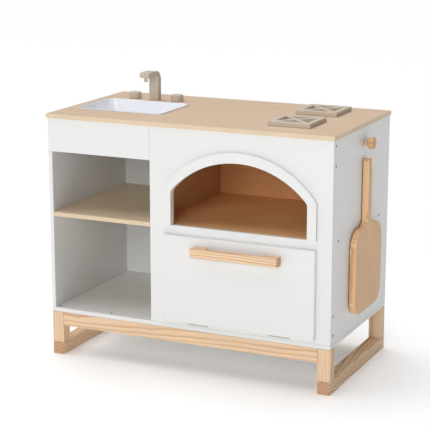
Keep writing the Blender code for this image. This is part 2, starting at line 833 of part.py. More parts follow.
def sink_mouth():
    """Half width, half depth and corner radius of the bowl's mouth."""
    return SINK_W / 2 - SINK_RIM, SINK_D / 2 - SINK_RIM, SINK_CORNER - SINK_RIM / 2


def make_sink():
    """The bowl's upper skin, ring by ring from its floor out to its rim, with its wall below."""
    mouth_w, mouth_d, corner = sink_mouth()
    bottom = -SINK_DEEP
    lean = SINK_SLOPE / SINK_DEEP
    rings = []
    for angle in (0, 30, 60, 90):  # fillet between the floor and the walls
        rise = SINK_FILLET * (1 - math.cos(math.radians(angle)))
        inset = SINK_SLOPE - lean * rise + SINK_FILLET * (1 - math.sin(math.radians(angle)))
        rings.append((inset, bottom + rise))
    rings.append((SINK_LIP, -SINK_LIP_DOWN))
    rings.append((-SINK_LIP, 0.0))
    rings.append((-SINK_RIM, 0.0))
    mesh = bpy.data.meshes.new("sink_basin")
    bm = bmesh.new()
    outlines = []
    for inset, height in rings:
        outline = round_rectangle(mouth_w - inset, mouth_d - inset, corner, 5)
        outlines.append([Vector((across, along, height)) for across, along in outline])
    edge = [bm.verts.new(place) for place in outlines[0]]
    bm.faces.new(edge)
    edges = bm.edges[:]
    for lower, upper in zip(outlines, outlines[1:]):
        grown = bmesh.ops.extrude_edge_only(bm, edges=edges)["geom"]
        edges = [item for item in grown if isinstance(item, bmesh.types.BMEdge)]
        edges = [item for item in edges if len(item.link_faces) == 1]
        for vert in (item for item in grown if isinstance(item, bmesh.types.BMVert)):
            index = min(range(len(lower)), key=lambda number: (lower[number] - vert.co).length)
            vert.co = upper[index]
    bm.to_mesh(mesh)
    bm.free()
    top = WORKTOP_Z + GAP + SINK_WALL
    axis = axis_empty("sink_lift", (*SINK_MID, top), KITCHEN)
    sink = put(bpy.data.objects.new("sink_basin", mesh), (*SINK_MID, top), FLAT, axis, "sink_plastic")
    wall = sink.modifiers.new("wall", "SOLIDIFY")
    wall.thickness = SINK_WALL
    wall.offset = -1.0
    wall.use_even_offset = True


def make_tap():
    """The tap's post and spout in one piece, its nozzle, and the dowel that it turns on."""
    foot = WORKTOP_Z + GAP
    axis = axis_empty("tap_axis", (SINK_MID[0], TAP_Y, foot), KITCHEN)
    back = TAP_T / 2
    under = TAP_H - SPOUT_H
    nose = -TAP_REACH + SPOUT_NOSE_R
    outline = (
        [(-back, 0.0), (back, 0.0)]
        + arc((back - TAP_BACK_R, TAP_H - TAP_BACK_R), TAP_BACK_R, 0, 90, 8)
        + arc((nose, TAP_H - SPOUT_NOSE_R), SPOUT_NOSE_R, 90, 180, 4)
        + arc((nose, under + SPOUT_NOSE_R), SPOUT_NOSE_R, 180, 270, 4)
        + arc((-back - SPOUT_FILLET, under - SPOUT_FILLET), SPOUT_FILLET, 90, 0, 3)
    )
    post = plate(
        "tap_spout", [outline], TAP_W, (SINK_MID[0], TAP_Y, foot), FACING_SIDE, "greige_paint", axis
    )
    ease(post, TAP_EDGE)

    nozzle_place = (SINK_MID[0], TAP_Y - NOZZLE_OUT, foot + under - GAP)
    nozzle = [
        (0.0, NOZZLE_TENON),
        (NOZZLE_TENON_R, NOZZLE_TENON),
        (NOZZLE_TENON_R, 0.0),
        (NOZZLE_R, 0.0),
        (NOZZLE_R, -NOZZLE_H),
        (0.0, -NOZZLE_H),
    ]
    socket_r = NOZZLE_TENON_R + GAP
    socket_top = NOZZLE_TENON + 2 * GAP
    socket = [(0.0, socket_top), (socket_r, socket_top), (socket_r, -PAST), (0.0, -PAST)]
    turned("tap_nozzle", nozzle, nozzle_place, UP, "greige_paint", axis)
    cut(post, turned("tap_nozzle_socket", socket, nozzle_place, UP, None, axis))

    under_top = -BOARD - 2 * GAP
    dowel = [
        (0.0, PIVOT_UP),
        (PIVOT_R, PIVOT_UP),
        (PIVOT_R, under_top),
        (PIVOT_FLANGE_R, under_top),
        (PIVOT_FLANGE_R, under_top - PIVOT_FLANGE_T),
        (0.0, under_top - PIVOT_FLANGE_T),
    ]
    bore_r = PIVOT_R + GAP
    bore = [(0.0, PIVOT_UP + GAP), (bore_r, PIVOT_UP + GAP), (bore_r, -PAST), (0.0, -PAST)]
    place = (SINK_MID[0], TAP_Y, foot)
    turned("tap_pivot_dowel", dowel, place, UP, "pine", axis)
    cut(post, turned("tap_pivot_bore", bore, place, UP, None, axis))


def make_knobs():
    foot = WORKTOP_Z + GAP
    under_top = -BOARD - 2 * GAP
    spindle = [
        (0.0, SPINDLE_UP),
        (SPINDLE_R, SPINDLE_UP),
        (SPINDLE_R, under_top),
        (SPINDLE_HEAD_R, under_top),
        (SPINDLE_HEAD_R, under_top - SPINDLE_HEAD_T),
        (0.0, under_top - SPINDLE_HEAD_T),
    ]
    bore_r = SPINDLE_R + GAP
    knob = rounded_knob(KNOB_R, KNOB_H, 0.0, KNOB_EDGE) + [
        (bore_r, 0.0),
        (bore_r, SPINDLE_UP + GAP),
        (0.0, SPINDLE_UP + GAP),
    ]
    for side, across, along in knob_places():
        place = (across, along, foot)
        axis = axis_empty(side + "_knob_axis", place, KITCHEN)
        turned(side + "_tap_knob", knob, place, UP, "greige_paint", axis, ROUND)
        turned(side + "_knob_spindle", spindle, place, UP, "dark_steel", axis)


def make_grates():
    half = GRATE / 2
    inner = half - GRATE_FRAME
    step = GRATE_CROSS / math.sqrt(2)
    outlines = [rectangle(-half, -half, half, half)]
    triangle = [(0.0, -step), (-inner + step, -inner), (inner - step, -inner)]
    for turn in range(4):
        angle = math.radians(90 * turn)
        c, s = math.cos(angle), math.sin(angle)
        outlines.append([(c * x - s * y, s * x + c * y) for x, y in triangle])
    height = WORKTOP_Z + GAP + GRATE_T / 2
    for row, along in (("back", 0.0), ("front", GRATE_PITCH)):
        place = (RIGHT - GRATE_FROM_RIGHT, BACK - GRATE_FROM_BACK - along, height)
        ease(plate(row + "_hob_grate", outlines, GRATE_T, place, FLAT, "greige_paint"), GRATE_EDGE, 1)


# ---------------------------------------------------------------- peg, peel and its cord


def make_peg(side_panel):
    head = rounded_knob(PEG_HEAD_R, PEG_NECK + PEG_HEAD, PEG_NECK, PEG_EDGE)
    profile = head + [
        (PEG_NECK_R, PEG_NECK),
        (PEG_NECK_R, GAP),
        (PEG_TENON_R, GAP),
        (PEG_TENON_R, -PEG_TENON),
        (0.0, -PEG_TENON),
    ]
    place = (SIDE_FACE, PEG_Y, PEG_Z)
    turned("peg", profile, place, TO_RIGHT, "pine", None, ROUND)
    hole_r = PEG_TENON_R + GAP
    hole = [(0.0, PAST), (hole_r, PAST), (hole_r, -PEG_TENON - GAP), (0.0, -PEG_TENON - GAP)]
    cut(side_panel, turned("peg_socket", hole, place, TO_RIGHT, None))


def peel_outline():
    """The peel's outline below its top: a round-ended handle that flares into a square blade."""
    shoulder = -PEEL_SHOULDER
    low = -PEEL_LEN
    right = (
        arc((0.0, -PEEL_HANDLE_R), PEEL_HANDLE_R, 90, 0, 6)
        + arc((PEEL_HANDLE_R + PEEL_NECK_R, shoulder + PEEL_NECK_R), PEEL_NECK_R, 180, 270, 6)
        + arc((PEEL_BLADE_R - PEEL_SHOULDER_R, shoulder - PEEL_SHOULDER_R), PEEL_SHOULDER_R, 90, 0, 7)
        + arc((PEEL_BLADE_R - PEEL_CORNER_R, low + PEEL_CORNER_R), PEEL_CORNER_R, 0, -90, 7)
    )
    left = [(-across, height) for across, height in reversed(right)]
    return right + left[:-1]


def smooth_route(points, spacing):
    """Points a fixed spacing apart on the smooth curve that passes through the route's points."""
    route = [Vector(point) for point in points]
    ends = [2 * route[0] - route[1]] + route + [2 * route[-1] - route[-2]]
    fine = []
    for before, start, end, after in zip(ends, ends[1:], ends[2:], ends[3:]):
        for step in range(ROUTE_STEPS):
            t = step / ROUTE_STEPS
            fine.append(
                0.5
                * (
                    2 * start
                    + (end - before) * t
                    + (2 * before - 5 * start + 4 * end - after) * t**2
                    + (3 * start - before - 3 * end + after) * t**3
                )
            )
    fine.append(route[-1])
    travelled = [0.0]
    for first, second in zip(fine, fine[1:]):
        travelled.append(travelled[-1] + (second - first).length)
    count = round(travelled[-1] / spacing)
    kept = []
    index = 0
    for number in range(count + 1):
        target = travelled[-1] * number / count
        while index < len(fine) - 2 and travelled[index + 1] < target:
            index += 1
        share = (target - travelled[index]) / (travelled[index + 1] - travelled[index])
        kept.append(fine[index].lerp(fine[index + 1], share))
    return kept


def make_peel():
    peg = Vector((SIDE_FACE, PEG_Y, PEG_Z))
    axis = axis_empty("peel_swing_axis", peg, KITCHEN)
    outlines = [peel_outline(), circle((0.0, -PEEL_HOLE_DROP), PEEL_HOLE_R)]
    place = (SIDE_FACE + PEEL_OFF + PEEL_T / 2, PEG_Y, PEG_Z - PEEL_DROP)
    ease(plate("peel", outlines, PEEL_T, place, FACING_SIDE, "peel_wood", axis), PEEL_EDGE, 2, 60)

    curve = bpy.data.curves.new("hanging_cord", "CURVE")
    curve.dimensions = "3D"
    curve.bevel_depth = CORD_R
    curve.bevel_resolution = 2
    curve.use_fill_caps = True
    route = smooth_route(CORD_ROUTE, CORD_SPACING)
    spline = curve.splines.new("POLY")
    spline.points.add(len(route) - 1)
    for point, where in zip(spline.points, route):
        point.co = (*where, 1.0)
    put(bpy.data.objects.new("hanging_cord", curve), peg, FLAT, axis, "cotton_cord")

    knot = (
        [(0.0, KNOT_TAIL), (KNOT_TIP_R, KNOT_TAIL)]
        + [(KNOT_TAIL_R, KNOT_TAIL - KNOT_TAIL_R)]
        + arc((0.0, 0.0), KNOT_R, 60, -90, 6)
    )
    knot[-1] = (0.0, -KNOT_R)
    turned("cord_knot", knot, peg + Vector(KNOT_PLACE), UP, "cotton_cord", axis, 12)


# ---------------------------------------------------------------- build

clear_scene()
PARTS = collection("toy_kitchen")
CUTTERS = collection("cutters")
KITCHEN = axis_empty("kitchen_centre", (-CENTRE_X, -CENTRE_Y, 0.0))

make_base()
screw_holes = make_screws()
right_panel = make_carcass(screw_holes)
make_battens(screw_holes)
make_shelves(screw_holes)
make_linings(screw_holes)
make_front()
make_worktop()
make_sink()
make_tap()
make_knobs()
make_grates()
make_peg(right_panel)
make_peel()
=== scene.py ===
"""The looks of a wooden toy kitchen: painted boards, a pine base, a beech worktop with a lift-out sink,
a swivel tap and two hob grates, an arched oven above a drop-down flap, and a pizza peel on a peg.

Units are metres, +Z is up and the front faces -Y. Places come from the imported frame. The sizes and
colours that a user would change are in the property groups, and the other sizes fit the CAD pieces.
"""

import math

import bmesh
import bpy
from bpy.props import FloatProperty, FloatVectorProperty, IntProperty, PointerProperty
from mathutils import Matrix, Vector


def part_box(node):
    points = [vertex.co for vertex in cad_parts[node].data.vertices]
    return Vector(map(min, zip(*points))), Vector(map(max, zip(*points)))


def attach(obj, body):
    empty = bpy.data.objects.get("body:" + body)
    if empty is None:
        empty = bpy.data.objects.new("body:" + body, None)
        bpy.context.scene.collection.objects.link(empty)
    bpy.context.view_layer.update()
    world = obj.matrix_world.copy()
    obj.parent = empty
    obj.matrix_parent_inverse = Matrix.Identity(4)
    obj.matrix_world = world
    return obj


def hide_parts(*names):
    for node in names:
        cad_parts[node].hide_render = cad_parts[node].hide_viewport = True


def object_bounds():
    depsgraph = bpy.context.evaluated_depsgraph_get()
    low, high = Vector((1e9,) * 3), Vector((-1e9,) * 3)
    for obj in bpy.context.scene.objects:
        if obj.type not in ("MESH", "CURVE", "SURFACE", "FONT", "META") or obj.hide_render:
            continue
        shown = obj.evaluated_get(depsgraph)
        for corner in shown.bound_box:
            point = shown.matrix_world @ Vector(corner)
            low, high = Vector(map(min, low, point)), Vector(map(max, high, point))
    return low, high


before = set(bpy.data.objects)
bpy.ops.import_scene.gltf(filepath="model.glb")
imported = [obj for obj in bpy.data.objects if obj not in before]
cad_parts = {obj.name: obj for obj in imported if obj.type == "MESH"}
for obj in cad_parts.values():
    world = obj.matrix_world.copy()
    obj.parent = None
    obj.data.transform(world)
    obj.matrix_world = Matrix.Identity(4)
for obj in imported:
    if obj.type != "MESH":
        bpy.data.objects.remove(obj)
CAD_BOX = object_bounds()

bl_info = {
    "name": "Toy kitchen finishes",
    "version": (1, 0, 0),
    "blender": (4, 5, 0),
    "location": "View3D > Sidebar > Kitchen",
    "description": "Builds the finished pieces of a wooden toy kitchen on its packed frame",
    "category": "Object",
}


# ---------------------------------------------------------------- places taken from the frame


def span(node):
    """A CAD node's low corner, its high corner and its middle."""
    low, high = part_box(node)
    return low, high, (low + high) / 2


PANEL_LOW, PANEL_HIGH, PANEL_MID = span("front_panel")
ARCH_LOW, ARCH_HIGH, ARCH_MID = span("arch_moulding")
FLAP_LOW, FLAP_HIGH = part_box("flap_door")
TOP_LOW, TOP_HIGH, TOP_MID = span("worktop")
SINK_LOW, SINK_HIGH, SINK_MID = span("sink_basin")
RIGHT_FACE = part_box("right_side_panel")[1].x
LEFT_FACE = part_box("left_side_panel")[0].x
BAY_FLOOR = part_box("bottom_panel")[1].z
PEG_LOW, PEG_HIGH, PEG_MID = span("peg")
PEEL_LOW, PEEL_HIGH, PEEL_MID = span("peel")
TAP_LOW, TAP_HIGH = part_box("tap_spout")
SIDES = ("left", "right")
WHITE_ON_ROOT = ("white_paint", "root")
SHELF_SCREWS = ("floor_front_screw", "floor_back_screw")
TOP_SCREWS = ("top_upper_screw", "top_lower_screw")
BOTTOM_SCREWS = ("bottom_upper_screw", "bottom_lower_screw")
SIDE_SCREWS = TOP_SCREWS + SHELF_SCREWS + BOTTOM_SCREWS

GAP = 0.0003  # air between pieces that touch
ROOM = Vector((GAP, GAP, GAP))
PROUD = 0.002  # how far outside a face a cutter starts
CREASE = 40  # faces that meet at more than this many degrees are shaded apart
TURNED_SIDES = 64

# Oven arch, about the front panel's middle line
ARCH_RISE = 0.114
ARCH_SIDE_W = 0.025
ARCH_TOP_W = 0.028
ARCH_INNER_RISE = 0.0915
ARCH_FILLET = 0.020
FLAP_OVERLAP = 0.016

# Sink
SINK_RIM = 0.008
SINK_CORNER = 0.023
SINK_DEEP = 0.065
SINK_SLOPE = 0.018
SINK_FILLET = 0.012
SINK_WALL = 0.002
SINK_SEAT = 0.0015
SINK_LIP = 0.0018
SINK_LIP_INSET = 0.0010
SINK_CORNER_STEPS = 10

# Tap
TAP_T = 0.018
TAP_BACK_R = 0.028
SPOUT_H = 0.016
SPOUT_FILLET = 0.006
SPOUT_NOSE_R = 0.004
PIVOT_R = 0.0045
SPINDLE_R = 0.003
SPINDLE_UP = 0.012
NOZZLE_TENON_R = 0.0035
NOZZLE_TENON = 0.008
NOZZLE_R = 0.0055
NOZZLE_EDGE = 0.0008
NOZZLE_MOUTH_R = 0.0035
NOZZLE_MOUTH_DEEP = 0.0025
KNOB_DOME = 0.0007
KNOB_FOOT_EDGE = 0.001

# Flap's handle
HANDLE_FOOT = 0.040
HANDLE_BAR = 0.013
HANDLE_CHAMFER = 0.006

# Radius on the edges of the thin inner boards, and of the shelf
THIN_EDGE = 0.0004
SHELF_EDGE = 0.0008

# Grates
GRATE_FRAME = 0.016
GRATE_CROSS = 0.012

# Screws
SCREW_HEAD_R = 0.0035
SCREW_HEAD_T = 0.002
SCREW_SHANK_R = 0.002
SCREW_SOCKET_R = 0.0017
SCREW_SOCKET_DEEP = 0.0012
SCREW_EASE = 0.0003
SCREW_TIP = 0.0015
SCREW_SUNK = 0.0001
SHELF_SCREW_LONG = 0.022
BAY_SCREW_LONG = 0.010
BAY_SCREW_PROUD = 0.0004
BAY_SCREWS = {"left": (-0.4185, -0.189), "right": (-0.2535, -0.189)}

# Growth rings and ply veneers, from one to the next
BASE_RING = 0.0060
HANDLE_RING = 0.0056
OVEN_RING = 0.0062
PLY_VENEER = 0.0034

# Peg and peel
PEG_NECK_R = 0.0083
PEG_NECK = 0.0135
PEG_HEAD_R = 0.0165
PEG_EDGE = 0.0025
PEG_TENON_R = 0.005
PEG_DOME = 0.0009
PEEL_HANDLE_R = 0.014
PEEL_SHOULDER = 0.186
PEEL_NECK_R = 0.024
PEEL_SHOULDER_R = 0.050
PEEL_CORNER_R = 0.045
PEEL_HOLE_R = 0.004
PEEL_HOLE_DROP = 0.030

# Hanging loop. The route is measured from the side panel's face and the peg's centre: out, back, up.
CORD_DIAMETER = 0.002
CORD_STEP = 0.0008  # from one ring of the swept cord to the next
CORD_ROUTE = (
    (0.0075, 0.0034, 0.0103),
    (0.0078, 0.0072, 0.0074),
    (0.0082, 0.0097, 0.0032),
    (0.0087, 0.0101, -0.0030),
    (0.0096, 0.0096, -0.0105),
    (0.0120, 0.0083, -0.0185),
    (0.0163, 0.0066, -0.0280),
    (0.0205, 0.0050, -0.0380),
    (0.0223, 0.0035, -0.0480),
    (0.0228, 0.0020, -0.0580),
    (0.0228, 0.0008, -0.0660),
    (0.0220, 0.0003, -0.0700),
    (0.0202, 0.0000, -0.0718),
    (0.0175, 0.0000, -0.0725),
    (0.0120, 0.0000, -0.0726),
    (0.0066, 0.0000, -0.0723),
    (0.0040, 0.0000, -0.0716),
    (0.0021, -0.0003, -0.0697),
    (0.0014, -0.0007, -0.0665),
    (0.0015, -0.0016, -0.0580),
    (0.0015, -0.0030, -0.0480),
    (0.0018, -0.0046, -0.0380),
    (0.0028, -0.0064, -0.0280),
    (0.0041, -0.0082, -0.0185),
    (0.0055, -0.0096, -0.0105),
    (0.0063, -0.0101, -0.0030),
    (0.0068, -0.0097, 0.0032),
    (0.0072, -0.0072, 0.0074),
    (0.0075, -0.0034, 0.0103),
)
KNOT_PLACE = (0.0075, 0.0, 0.0112)
KNOT_STEPS = 60
KNOT_CORD_R = 0.00095
TAIL_CORD_R = 0.00085

# Stage
CAMERA_PLACE = (1.6985, -3.6937, 1.378)
CAMERA_DOWN = 13.407  # degrees below level
CAMERA_ROUND = 24.935  # degrees round from the front, towards the right side
FLOOR_REACH = 60.0
FLOOR_DROP = 0.0006
FLOOR_GLOW = 0.12
KEY_PLACE = (-0.8, 0.3, 3.0)
KEY_SPREAD = 80  # degrees across
SOFTBOX_PLACE = (0.8, -6.6, 2.6)
SOFTBOX_SIZE = 3.0

# Ways that a shape drawn about its own Z can lie
FLAT = Matrix.Identity(4)
TO_FRONT = Matrix.Rotation(math.pi / 2, 4, "X")
TO_BACK = Matrix.Rotation(-math.pi / 2, 4, "X")
TO_RIGHT = Matrix.Rotation(math.pi / 2, 4, "Y")
TO_LEFT = Matrix.Rotation(-math.pi / 2, 4, "Y")
UP_THE_SIDE = Matrix.Rotation(math.pi / 2, 4, "Z") @ Matrix.Rotation(math.pi / 2, 4, "X")


def laid(x, y, z, way=FLAT):
    """The place of a shape whose own origin goes to a point."""
    return Matrix.Translation((x, y, z)) @ way


# ---------------------------------------------------------------- sizes and colours a user may change


def length(name, default, about):
    return FloatProperty(
        name=name, default=default, min=0.0, description=about, unit="LENGTH", precision=5
    )


def amount(name, default, about, least=0.0):
    return FloatProperty(name=name, default=default, min=least, description=about)


def colour(name, code, about):
    """A colour property from a six-digit sRGB code."""
    return FloatVectorProperty(
        name=name, default=linear(code), min=0.0, max=1.0, size=3, subtype="COLOR", description=about
    )


def linear(code):
    shares = [int(code[at : at + 2], 16) / 255 for at in (0, 2, 4)]
    return tuple(
        share / 12.92 if share <= 0.04045 else ((share + 0.055) / 1.055) ** 2.4 for share in shares
    )


class KitchenSizes(bpy.types.PropertyGroup):
    """Eased edges and other small sizes of the finished pieces"""

    board_edge: length("Board edge", 0.0011, "Radius on the edges of the painted boards")
    bar_edge: length("Bar edge", 0.0014, "Radius on the edges of the pine base")
    worktop_edge: length("Worktop edge", 0.0010, "Radius on the worktop's edges")
    flap_edge: length("Flap edge", 0.0045, "Radius on the flap's edges")
    moulding_edge: length("Moulding edge", 0.0024, "Radius on the arch moulding's edges")
    handle_edge: length("Handle edge", 0.0016, "Radius on the flap handle's edges")
    tap_edge: length("Tap edge", 0.0025, "Radius on the tap's edges")
    knob_edge: length("Knob edge", 0.0024, "Radius on the rim of a tap knob")
    grate_edge: length("Grate edge", 0.0010, "Radius on a hob grate's edges")
    peel_edge: length("Peel edge", 0.0034, "Radius on the peel's edges")
    cord_twist: length("Cord twist", 0.0052, "Length of one full turn of the cord's strands")
    curve_steps: IntProperty(
        name="Curve steps", default=40, min=8, max=96, description="Straight steps along a large arc"
    )


class KitchenColours(bpy.types.PropertyGroup):
    """Main colours of the finishes"""

    paint: colour("White paint", "E6E6E5", "Paint on the boards")
    pine_light: colour("Pine, light", "EBCBA8", "Early wood of the pine")
    pine_dark: colour("Pine, dark", "C48E5E", "Late wood of the pine")
    beech: colour("Beech", "DCC4AC", "Worktop's face")
    ply: colour("Ply", "E4CFB0", "Edges of the worktop and the shelf")
    oven: colour("Oven wood", "F2C48F", "Boards inside the oven")
    peel: colour("Peel", "D6AE83", "Face of the peel")
    greige: colour("Tap paint", "CBBEAC", "Paint on the tap and its knobs")
    grate: colour("Grate paint", "CBC0B0", "Stain on the hob grates")
    sink: colour("Sink", "F8F9FE", "Sink's plastic")
    cord: colour("Cord", "F7F5FD", "Cotton of the hanging loop")


class KitchenStudio(bpy.types.PropertyGroup):
    """Camera and lights"""

    lens: amount("Lens", 123.66, "Focal length in millimetres", 20.0)
    key: amount("Key light", 2.7, "Strength of the broad main light")
    fill: amount("Fill light", 172.0, "Power of the front softbox in watts")
    sky: amount("Sky", 0.13, "Strength of the even light all round")


def sizes():
    return bpy.context.scene.kitchen_sizes


def dye(name):
    """One of the panel's colours, as plain numbers."""
    return tuple(getattr(bpy.context.scene.kitchen_colours, name))


def shade(tone, *shares):
    """A tone scaled by one share, or each of its parts by its own, with no part above full."""
    return tuple(min(1.0, part * share) for part, share in zip(tone, shares * 3))


# ---------------------------------------------------------------- node helpers


class Recipe:
    """One procedural material, built link by link round its Principled shader."""

    def __init__(self, name, roughness=0.5, metallic=0.0, coat=0.0):
        self.material = bpy.data.materials.new(name)
        self.material.use_nodes = True
        self.tree = self.material.node_tree
        self.shader = self.tree.nodes["Principled BSDF"]
        self.shader.inputs["Roughness"].default_value = roughness
        self.shader.inputs["Metallic"].default_value = metallic
        self.shader.inputs["Coat Weight"].default_value = coat
        self.place = self.add("ShaderNodeTexCoord").outputs["Object"]

    def add(self, kind, sockets=None, **settings):
        """A node with its settings and its inputs, each given as a value or as another node's output."""
        node = self.tree.nodes.new(kind)
        for name, value in settings.items():
            setattr(node, name, value)
        for name, value in (sockets or {}).items():
            if isinstance(value, bpy.types.NodeSocket):
                self.tree.links.new(value, node.inputs[name])
            else:
                node.inputs[name].default_value = value
        return node

    def mapped(self, shift=(0, 0, 0), turn=(0, 0, 0), scale=(1, 1, 1), source=None):
        sockets = {"Vector": source or self.place, "Location": shift, "Rotation": turn, "Scale": scale}
        return self.add("ShaderNodeMapping", sockets).outputs["Vector"]

    def noise(self, vector, scale, detail=2.0, rough=0.5, output="Fac"):
        sockets = {"Vector": vector, "Scale": scale, "Detail": detail, "Roughness": rough}
        return self.add("ShaderNodeTexNoise", sockets).outputs[output]

    def wave(self, vector, spacing, distortion, detail_scale, **settings):
        """Lines or rings a spacing apart."""
        sockets = {"Vector": vector, "Scale": math.pi / (10 * spacing)}
        sockets |= {"Distortion": distortion, "Detail": 2.0, "Detail Scale": detail_scale}
        return self.add("ShaderNodeTexWave", sockets, **settings).outputs["Fac"]

    def math(self, operation, first, second):
        return self.add("ShaderNodeMath", {0: first, 1: second}, operation=operation).outputs[0]

    def vector(self, operation, first, second):
        return self.add("ShaderNodeVectorMath", {0: first, 1: second}, operation=operation).outputs[0]

    def spread(self, value, low, high):
        """A value from 0 to 1 spread over another range."""
        sockets = {"Value": value, "To Min": low, "To Max": high}
        return self.add("ShaderNodeMapRange", sockets).outputs["Result"]

    def ramp(self, value, stops):
        node = self.add("ShaderNodeValToRGB", {"Fac": value})
        ramp = node.color_ramp
        while len(ramp.elements) < len(stops):
            ramp.elements.new(0.5)
        for element, (at, tone) in zip(ramp.elements, stops):
            element.position = at
            element.color = (*tone, 1.0)
        return node.outputs["Color"]

    def mix(self, share, first, second, blend="MIX"):
        node = self.add("ShaderNodeMix", data_type="RGBA", blend_type=blend)
        for socket, value in ((node.inputs[0], share), (node.inputs[6], first), (node.inputs[7], second)):
            if isinstance(value, bpy.types.NodeSocket):
                self.tree.links.new(value, socket)
            elif isinstance(value, (int, float)):
                socket.default_value = value
            else:
                socket.default_value = (*value, 1.0)
        return node.outputs[2]

    def mottle(self, base, value, low, high, share=1.0):
        """Multiplies a colour by a grey that runs from low to high with a value."""
        level = self.spread(value, low, high)
        grey = self.add("ShaderNodeCombineColor", {0: level, 1: level, 2: level}).outputs[0]
        return self.mix(share, base, grey, "MULTIPLY")

    def fleck(self, base, value, start, full, tone, share=1.0):
        """Multiplies a colour by a tone where a value passes from start to full."""
        clear = (1, 1, 1)
        marks = self.ramp(value, [(0.0, clear), (start, clear), (full, tone)])
        return self.mix(share, base, marks, "MULTIPLY")

    def finish(self, base, roughness, height, strength, distance):
        """Joins the colour, the roughness and a bump to the shader, and gives the material."""
        bump = self.add("ShaderNodeBump", {"Height": height, "Strength": strength, "Distance": distance})
        for socket, source in (
            ("Base Color", base),
            ("Roughness", roughness),
            ("Normal", bump.outputs["Normal"]),
        ):
            self.tree.links.new(source, self.shader.inputs[socket])
        return self.material


def shared(name):
    """Marks a function that makes one material, which is made once and then found by its name."""
    return lambda make: lambda: bpy.data.materials.get(name) or make(name)


def paint(name, tone, speck=0.012, roughness=0.42):
    """Sprayed paint on board: a fine orange-peel skin, and a tone that drifts very slightly."""
    recipe = Recipe(name, roughness)
    drift = recipe.noise(recipe.place, 5.0, 3.0)
    fine = recipe.noise(recipe.place, 900.0)
    skin = recipe.noise(recipe.place, 260.0, 3.0)
    base = recipe.mix(drift, shade(tone, 1.0 - speck), shade(tone, 1.0 + speck))
    base = recipe.mottle(base, fine, 0.985, 1.015, 0.5)
    rough = recipe.spread(skin, roughness - 0.06, roughness + 0.06)
    height = recipe.math("ADD", skin, recipe.math("MULTIPLY", fine, 0.35))
    return recipe.finish(base, rough, height, 0.12, 0.00025)


ALONG_Z = {  # turn that brings a grain direction to Z
    "x": Matrix.Rotation(-math.pi / 2, 3, "Y"),
    "y": Matrix.Rotation(math.pi / 2, 3, "X"),
    "z": Matrix.Identity(3),
}


def wood(name, along, pith, light, dark, ring, wobble, lean=0.02, contrast=1.0, pores=0.0):
    """Sawn timber. Its rings run round a pith line along one axis; pith is a point on that line.

    ring is a growth ring's width, wobble how far the rings wander, lean how far the pith line tilts
    from the axis, which draws the rings out into arches on a flat-sawn face, and pores how dark the
    small pores are.
    """
    recipe = Recipe(name)
    whole = Matrix.Rotation(lean, 3, "X") @ Matrix.Rotation(lean * 0.6, 3, "Y") @ ALONG_Z[along]
    log = recipe.mapped(-(whole @ Vector(pith)), whole.to_euler("XYZ"))
    wander = recipe.noise(recipe.mapped(scale=(1, 1, 0.30), source=log), 11.0, 2.5, 0.45, "Color")
    moved = recipe.vector("SUBTRACT", wander, (0.5, 0.5, 0.5))
    moved = recipe.vector("MULTIPLY", moved, (wobble, wobble, 0.0))
    moved = recipe.vector("ADD", moved, log)
    rings = recipe.wave(moved, ring, 0.9, 0.7, wave_type="RINGS", rings_direction="Z", wave_profile="SAW")
    width = recipe.noise(recipe.mapped(scale=(1, 1, 0.04), source=log), 95.0, 1.0)
    tone = tuple(a + (b - a) * 0.35 for a, b in zip(light, dark))
    stops = [(0.0, light), (0.40, light), (0.66, tone), (0.88, dark), (0.96, dark), (1.0, light)]
    grown = recipe.ramp(rings, stops)
    base = recipe.mix(recipe.spread(width, 0.25 * contrast, 1.0 * contrast), light, grown)
    long_grain = recipe.mapped(scale=(1, 1, 0.022), source=log)
    fibre = recipe.noise(long_grain, 620.0, 3.0, 0.6)
    streak = recipe.noise(long_grain, 110.0)
    cloud = recipe.noise(log, 7.0)
    for value, low, high in ((fibre, 0.86, 1.14), (streak, 0.92, 1.08), (cloud, 0.93, 1.07)):
        base = recipe.mottle(base, value, low, high)
    if pores:
        dots = recipe.noise(recipe.mapped(scale=(1, 1, 0.10), source=log), 1100.0, 1.0)
        base = recipe.fleck(base, dots, 0.60, 0.72, (1 - pores,) * 3)
    height = recipe.math("ADD", fibre, recipe.math("MULTIPLY", rings, 0.3))
    return recipe.finish(base, recipe.spread(fibre, 0.40, 0.62), height, 0.16, 0.0003)


def pine(name, along, pith, lean=0.02, ring=0.0068, contrast=1.15):
    """Flat-sawn pine, and the darker look of its sawn ends."""
    light, dark = dye("pine_light"), dye("pine_dark")
    pale, brown = shade(light, 0.82, 0.70, 0.62), shade(dark, 0.50, 0.31, 0.26)
    return [
        wood("pine_" + name, along, pith, light, dark, ring, ring * 1.5, lean, contrast),
        wood("pine_" + name + "_end", along, pith, pale, brown, ring * 1.1, 0.004, lean, 2.4),
    ]


@shared("birch_ply_edge")
def ply_edge(name):
    """A plywood edge: thin veneers in turn along and across the grain, with end-grain specks."""
    recipe = Recipe(name, 0.55)
    tone = dye("ply")
    bands = {"wave_type": "BANDS", "bands_direction": "Z", "wave_profile": "SIN"}
    layers = recipe.wave(recipe.place, PLY_VENEER, 0.25, 4.0, **bands)
    stops = [(0.0, shade(tone, 0.84)), (0.36, shade(tone, 0.92)), (0.52, tone), (1.0, shade(tone, 1.04))]
    base = recipe.ramp(layers, stops)
    specks = recipe.noise(recipe.mapped(scale=(0.35, 0.35, 1)), 1300.0, 2.0, 0.7)
    base = recipe.fleck(base, specks, 0.54, 0.72, (0.52, 0.44, 0.33), 0.8)
    patch = recipe.noise(recipe.place, 24.0)
    base = recipe.mottle(base, patch, 0.92, 1.08)
    return recipe.finish(base, recipe.spread(specks, 0.45, 0.65), specks, 0.15, 0.0003)


